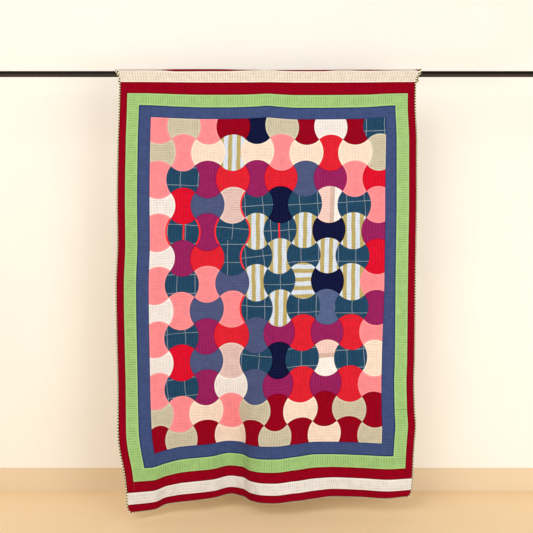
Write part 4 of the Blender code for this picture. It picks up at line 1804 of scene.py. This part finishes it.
@dataclass
class StripedPiping:
    """Bias-striped piping round the whole edge.

    Attributes:
        surface: the hanging surface that carries it.
        front: how far it stands out in front of the cloth's middle.
        reach: its width outside the cloth's edge.
        hem_reach: its width along the hem.
        fold_reach: its width where it turns over the bar.
        fold_span: how far from the turn it widens.
        fold_to_crest: how far in front of the crest it is widest.
        stripe: width of one stripe along the edge.
        cells: how many cells make a stripe.
        slant_reach: width from which the stripes slant round the section.
    """

    surface: ClothSurface
    front: float = 3.4 * MM
    reach: float = 6.0 * MM
    hem_reach: float = 3.4 * MM
    fold_reach: float = 17 * MM
    fold_span: float = 45 * MM
    fold_to_crest: float = 12 * MM
    stripe: float = 6.75 * MM
    cells: int = 2
    slant_reach: float = 8 * MM

    def reach_at(self, drop: Array) -> Array:
        """Width of the piping outside the cloth's edge at a drop."""
        fold = self.fold_to_crest - self.surface.arch_length / 2
        over_fold = smooth_step(1.0 - np.abs(drop - fold) / self.fold_span)
        at_hem = smooth_step((drop - DROP_CREAM_END) / (DROP_HEM - DROP_CREAM_END))
        plain = self.reach + (self.hem_reach - self.reach) * at_hem
        return plain + (self.fold_reach - plain) * over_fold

    def path(self) -> Array:
        """Flat places round the edge: down the left, along the hem, up the right and along the back."""
        step = self.stripe / self.cells
        top, bottom = self.surface.back_edge, DROP_HEM
        down = np.linspace(top, bottom, int((bottom - top) / step))
        count = int((LEFT_HALF + RIGHT_HALF) / step)
        level = np.linspace(-LEFT_HALF + CORNER_CUT, RIGHT_HALF - CORNER_CUT, count)[1:-1]
        back = np.linspace(-LEFT_HALF, RIGHT_HALF, count)[1:-1]
        runs = (
            np.stack([-LEFT_HALF + corner_cut(down), down], axis=1),
            np.stack([level, np.full_like(level, bottom)], axis=1),
            np.stack([RIGHT_HALF - corner_cut(down), down], axis=1)[::-1],
            np.stack([back[::-1], np.full_like(back, top)], axis=1),
        )
        return np.concatenate(runs)

    def rings(self, path: Array) -> Array:
        """Points of the piping, XYZ in the last axis, by place along the path and corner of the section."""
        across, drop = path[:, 0], path[:, 1]
        base = self.surface.point(across, drop)
        arriving = unit(base - np.roll(base, 1, axis=0))
        leaving = unit(np.roll(base, -1, axis=0) - base)
        along = unit(arriving + leaving)
        normal = self.surface.normal(across, drop)
        normal = unit(normal - along * np.sum(normal * along, axis=1, keepdims=True))
        outward = np.cross(along, normal)
        mitre = 1.0 / np.maximum(np.sum(arriving * along, axis=1), LEAST_MITRE)
        reach = self.reach_at(drop)
        half = CLOTH_THICKNESS / 2
        made = []
        for row in SECTION_ROWS:
            shift = np.maximum(row.out * reach, LEAST_REACH) * mitre
            up = row.before * self.front - row.behind * half
            made.append(base + outward * shift[:, None] + normal * up)
        return np.stack(made, axis=1)

    def build(self) -> bpy.types.Object:
        """Make the piping as one closed loop with its stripes as separate faces."""
        path = self.path()
        length, corners = len(path), len(SECTION_ROWS)
        slanted = self.reach_at(path[:, 1]) > self.slant_reach
        sheet = SheetMesh("piping_loop")
        steps = np.arange(length) * self.stripe / self.cells
        maps = np.stack(np.meshgrid(steps, np.arange(corners) * SECTION_STEP, indexing="ij"), axis=-1)
        index = sheet.add_points(self.rings(path), maps, maps)
        for k in range(corners):
            after = (k + 1) % corners
            for i in range(length):
                following = (i + 1) % length
                shift = k if slanted[i] else 0
                dark = ((i + shift) // self.cells) % 2 == 0
                sheet.faces.append((int(index[i, k]), int(index[following, k]),
                                    int(index[following, after]), int(index[i, after])))
                sheet.face_finish.append(sheet.finish_index(PIPING_DARK if dark else PIPING_PALE))
                sheet.face_smooth.append(True)
        item = sheet.add_object()
        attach(item, "root")
        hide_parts("striped_piping")
        return item


@dataclass
class BorderSet:
    """The three borders round the panel and the two pairs of full-width bands."""

    surface: ClothSurface

    def strips(self) -> list[ClothPiece]:
        """Every border strip, from the inner border outwards."""
        left = -LEFT_HALF + np.concatenate([[0.0], np.cumsum(LEFT_STRIPS)])
        right = RIGHT_HALF - np.concatenate([[0.0], np.cumsum(RIGHT_STRIPS)])
        top = (DROP_CREAM_MAROON, DROP_MAROON_GREEN, DROP_GREEN_BLUE, DROP_PANEL_TOP)
        bottom = (DROP_MAROON_CREAM, DROP_GREEN_MAROON, DROP_BLUE_GREEN, DROP_PANEL_BOTTOM)
        borders = (("maroon", MAROON_COTTON, "cream_top"), ("green", GREEN_COTTON, "maroon_top"),
                   ("blue", BLUE_COTTON, "green_top"))
        made = []
        for ring, (colour, finish, above) in enumerate(borders):
            heights = (top[ring], bottom[ring])
            inner = (top[ring + 1], bottom[ring + 1])
            between = (left[ring + 1], right[ring + 1])
            sides = (
                (Place.LEFT, (left[ring], left[ring + 1]), heights, above),
                (Place.RIGHT, (right[ring + 1], right[ring]), heights, above),
                (Place.TOP, between, (heights[0], inner[0]), above),
                (Place.BOTTOM, between, (inner[1], heights[1]), f"{colour}_left"),
            )
            for place, across, drop, carrier in sides:
                cloth = GREEN_PIECED if (colour, place) == ("green", Place.RIGHT) else finish
                made.append(ClothPiece(f"{colour}_{place.value}", f"{colour}_strip_{place.value}",
                                       f"{colour}_cotton", cloth, (float(across[0]), float(across[1])), drop,
                                       carrier, place, inner))
        return made

    def bands(self) -> list[ClothPiece]:
        """The cream bands and the dark red end bands."""
        wide = (-LEFT_HALF, RIGHT_HALF)
        seam = self.surface.top_seam
        return [
            ClothPiece("cream_top", "cream_band_top", "cream_cotton", CREAM_COTTON, wide,
                       (seam, DROP_CREAM_MAROON), "hanging_rod"),
            ClothPiece("cream_bottom", "cream_band_bottom", "cream_cotton", PALE_COTTON, wide,
                       (DROP_MAROON_CREAM, DROP_CREAM_END), "maroon_bottom"),
            ClothPiece("end_top", "end_band_top", "maroon_cotton", MAROON_COTTON, wide,
                       (self.surface.back_edge, seam), "hanging_rod"),
            ClothPiece("end_bottom", "end_band_bottom", "maroon_cotton", MAROON_COTTON, wide,
                       (DROP_CREAM_END, DROP_HEM), "cream_bottom"),
        ]


@dataclass(frozen=True)
class StageFinish:
    """Matt paint for the floor and the backdrop, seen through from behind.

    Attributes:
        name: the material's name.
        colour: display colour of the paint.
        cloud_scale: scale of its faint clouds.
        clouds: their darkest and lightest shade.
        roughness: the paint's roughness.
    """

    name: str
    colour: Colour
    cloud_scale: float = 3.0
    clouds: tuple[float, float] = (0.975, 1.025)
    roughness: float = 0.85

    def material(self) -> bpy.types.Material:
        """The stage's material."""
        material, wiring, shader = new_material(self.name)
        cloud = wiring.noise(wiring.object_place(), self.cloud_scale, 3.0)
        cloud = wiring.spread(cloud, *self.clouds)
        wiring.feed(shader.inputs["Base Color"], wiring.shaded(linear(self.colour), cloud))
        shader.inputs["Roughness"].default_value = self.roughness
        clear = wiring.node("ShaderNodeBsdfTransparent")
        behind = wiring.node("ShaderNodeNewGeometry").outputs["Backfacing"]
        both = wiring.node("ShaderNodeMixShader")
        wiring.feed(both.inputs[0], behind)
        wiring.feed(both.inputs[1], shader.outputs[0])
        wiring.feed(both.inputs[2], clear.outputs[0])
        wiring.feed(material.node_tree.nodes["Material Output"].inputs["Surface"], both.outputs[0])
        return material


class SoftLight(NamedTuple):
    """A large square light: where it stands, its side, its power and its colour."""

    name: str
    place: tuple[float, float, float]
    size: float
    power: float
    colour: tuple[float, float, float]


LIGHTS = (
    SoftLight(name="key_light", place=(-1.8, -3.4, 1.2), size=2.4, power=62.0, colour=(1.0, 0.98, 0.95)),
    SoftLight(name="fill_light", place=(2.0, -3.2, -1.2), size=1.8, power=45.0, colour=(0.90, 0.96, 1.0)),
)
LIGHT_TARGET = (0.0, 0.0, -1.0)
SKY_COLOUR = (1.0, 0.99, 0.98, 1.0)
SKY_STRENGTH = 0.64
FLOOR_PAINT = StageFinish("floor_paint", (249, 218, 173))
BACKDROP_PAINT = StageFinish("backdrop_paint", (255, 251, 243))
BASE_PAINT = StageFinish("base_paint", (236, 214, 182))


@dataclass(frozen=True)
class Studio:
    """Plain pale floor and backdrop, soft light and the camera.

    Attributes:
        backdrop: how far the backdrop stands behind the bar.
        backdrop_top: height of the backdrop's upper edge.
        floor: height of the floor.
        base_top: height of the plain board along the foot of the backdrop.
        base_depth: how far that board stands out.
        width: width of the stage.
        camera: where the camera stands.
        focal_pixels: its focal length in pixels of the photograph.
        frame_pixels: width of the photograph in pixels.
    """

    backdrop: float = 0.34
    backdrop_top: float = 3.5
    floor: float = -2.14
    base_top: float = -2.017
    base_depth: float = 0.01
    width: float = 14.0
    camera: tuple[float, float, float] = (-0.005, -3.4, -0.940)
    focal_pixels: float = 697.0
    frame_pixels: float = 533.0

    def plane(self, name: str, corners: Sequence[tuple[float, float, float]], finish: StageFinish) -> None:
        """Add one flat part of the stage."""
        mesh = bpy.data.meshes.new(name)
        mesh.from_pydata(list(corners), [], [(0, 1, 2, 3)])
        mesh.materials.append(finish.material())
        add_to_scene(name, mesh)

    def upright(self, depth: float, top: float) -> list[tuple[float, float, float]]:
        """Corners of an upright plane that stands on the floor and faces the camera."""
        half = self.width / 2
        edges = ((-half, self.floor), (half, self.floor), (half, top), (-half, top))
        return [(x, depth, z) for x, z in edges]

    def build_stage(self) -> None:
        """Add the floor, the backdrop and its base board."""
        half = self.width / 2
        edges = ((-half, -half), (half, -half), (half, self.backdrop), (-half, self.backdrop))
        self.plane("stage_floor", [(x, y, self.floor) for x, y in edges], FLOOR_PAINT)
        self.plane("stage_backdrop", self.upright(self.backdrop, self.backdrop_top), BACKDROP_PAINT)
        self.plane("stage_base", self.upright(self.backdrop - self.base_depth, self.base_top), BASE_PAINT)

    @staticmethod
    def build_lights() -> None:
        """Add the soft studio light."""
        world = bpy.data.worlds.new("studio_world")
        world.use_nodes = True
        sky = world.node_tree.nodes["Background"]
        sky.inputs["Color"].default_value = SKY_COLOUR
        sky.inputs["Strength"].default_value = SKY_STRENGTH
        bpy.context.scene.world = world
        for light in LIGHTS:
            data = bpy.data.lights.new(light.name, "AREA")
            data.shape = "SQUARE"
            data.size = light.size
            data.energy = light.power
            data.color = light.colour
            item = add_to_scene(light.name, data)
            item.location = light.place
            aim = Vector(LIGHT_TARGET) - Vector(light.place)
            item.rotation_euler = aim.to_track_quat("-Z", "Y").to_euler()
        bpy.context.scene.view_settings.view_transform = "Standard"

    def build_camera(self) -> None:
        """Add the camera at the photograph's viewing angle."""
        data = bpy.data.cameras.new("photo_camera")
        data.sensor_width = 36.0
        data.lens = data.sensor_width * self.focal_pixels / self.frame_pixels
        item = add_to_scene("photo_camera", data)
        item.location = self.camera
        item.rotation_euler = (math.pi / 2, 0.0, 0.0)
        bpy.context.scene.camera = item


def main() -> None:
    """Dress every piece in order."""
    logging.basicConfig(level=logging.INFO, format="%(name)s: %(message)s")
    studio = Studio()
    studio.build_stage()
    studio.build_lights()
    studio.build_camera()

    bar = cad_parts["hanging_rod"]
    bar.material_slots[0].material = WoodFinish().material()
    LOG.info("hanging_rod keeps its solid and gets stained wood")

    surface = ClothSurface()
    panel = PatchworkPanel(surface)
    patchwork = panel.build()
    strips = RedSeamStrips(panel).build()
    LOG.info("%s: %d faces", patchwork.name, len(patchwork.data.polygons))
    LOG.info("%s: %d faces", strips.name, len(strips.data.polygons))

    borders = BorderSet(surface)
    pieces = [(piece, piece.build(surface)) for piece in borders.bands() + borders.strips()]
    for piece, item in pieces:
        LOG.info("%s: %d faces", item.name, len(item.data.polygons))
    piping = StripedPiping(surface).build()
    LOG.info("%s: %d faces", piping.name, len(piping.data.polygons))

    panel.declare(patchwork, strips)
    for piece, item in pieces:
        piece.declare(item)


if __name__ == "__main__":
    main()
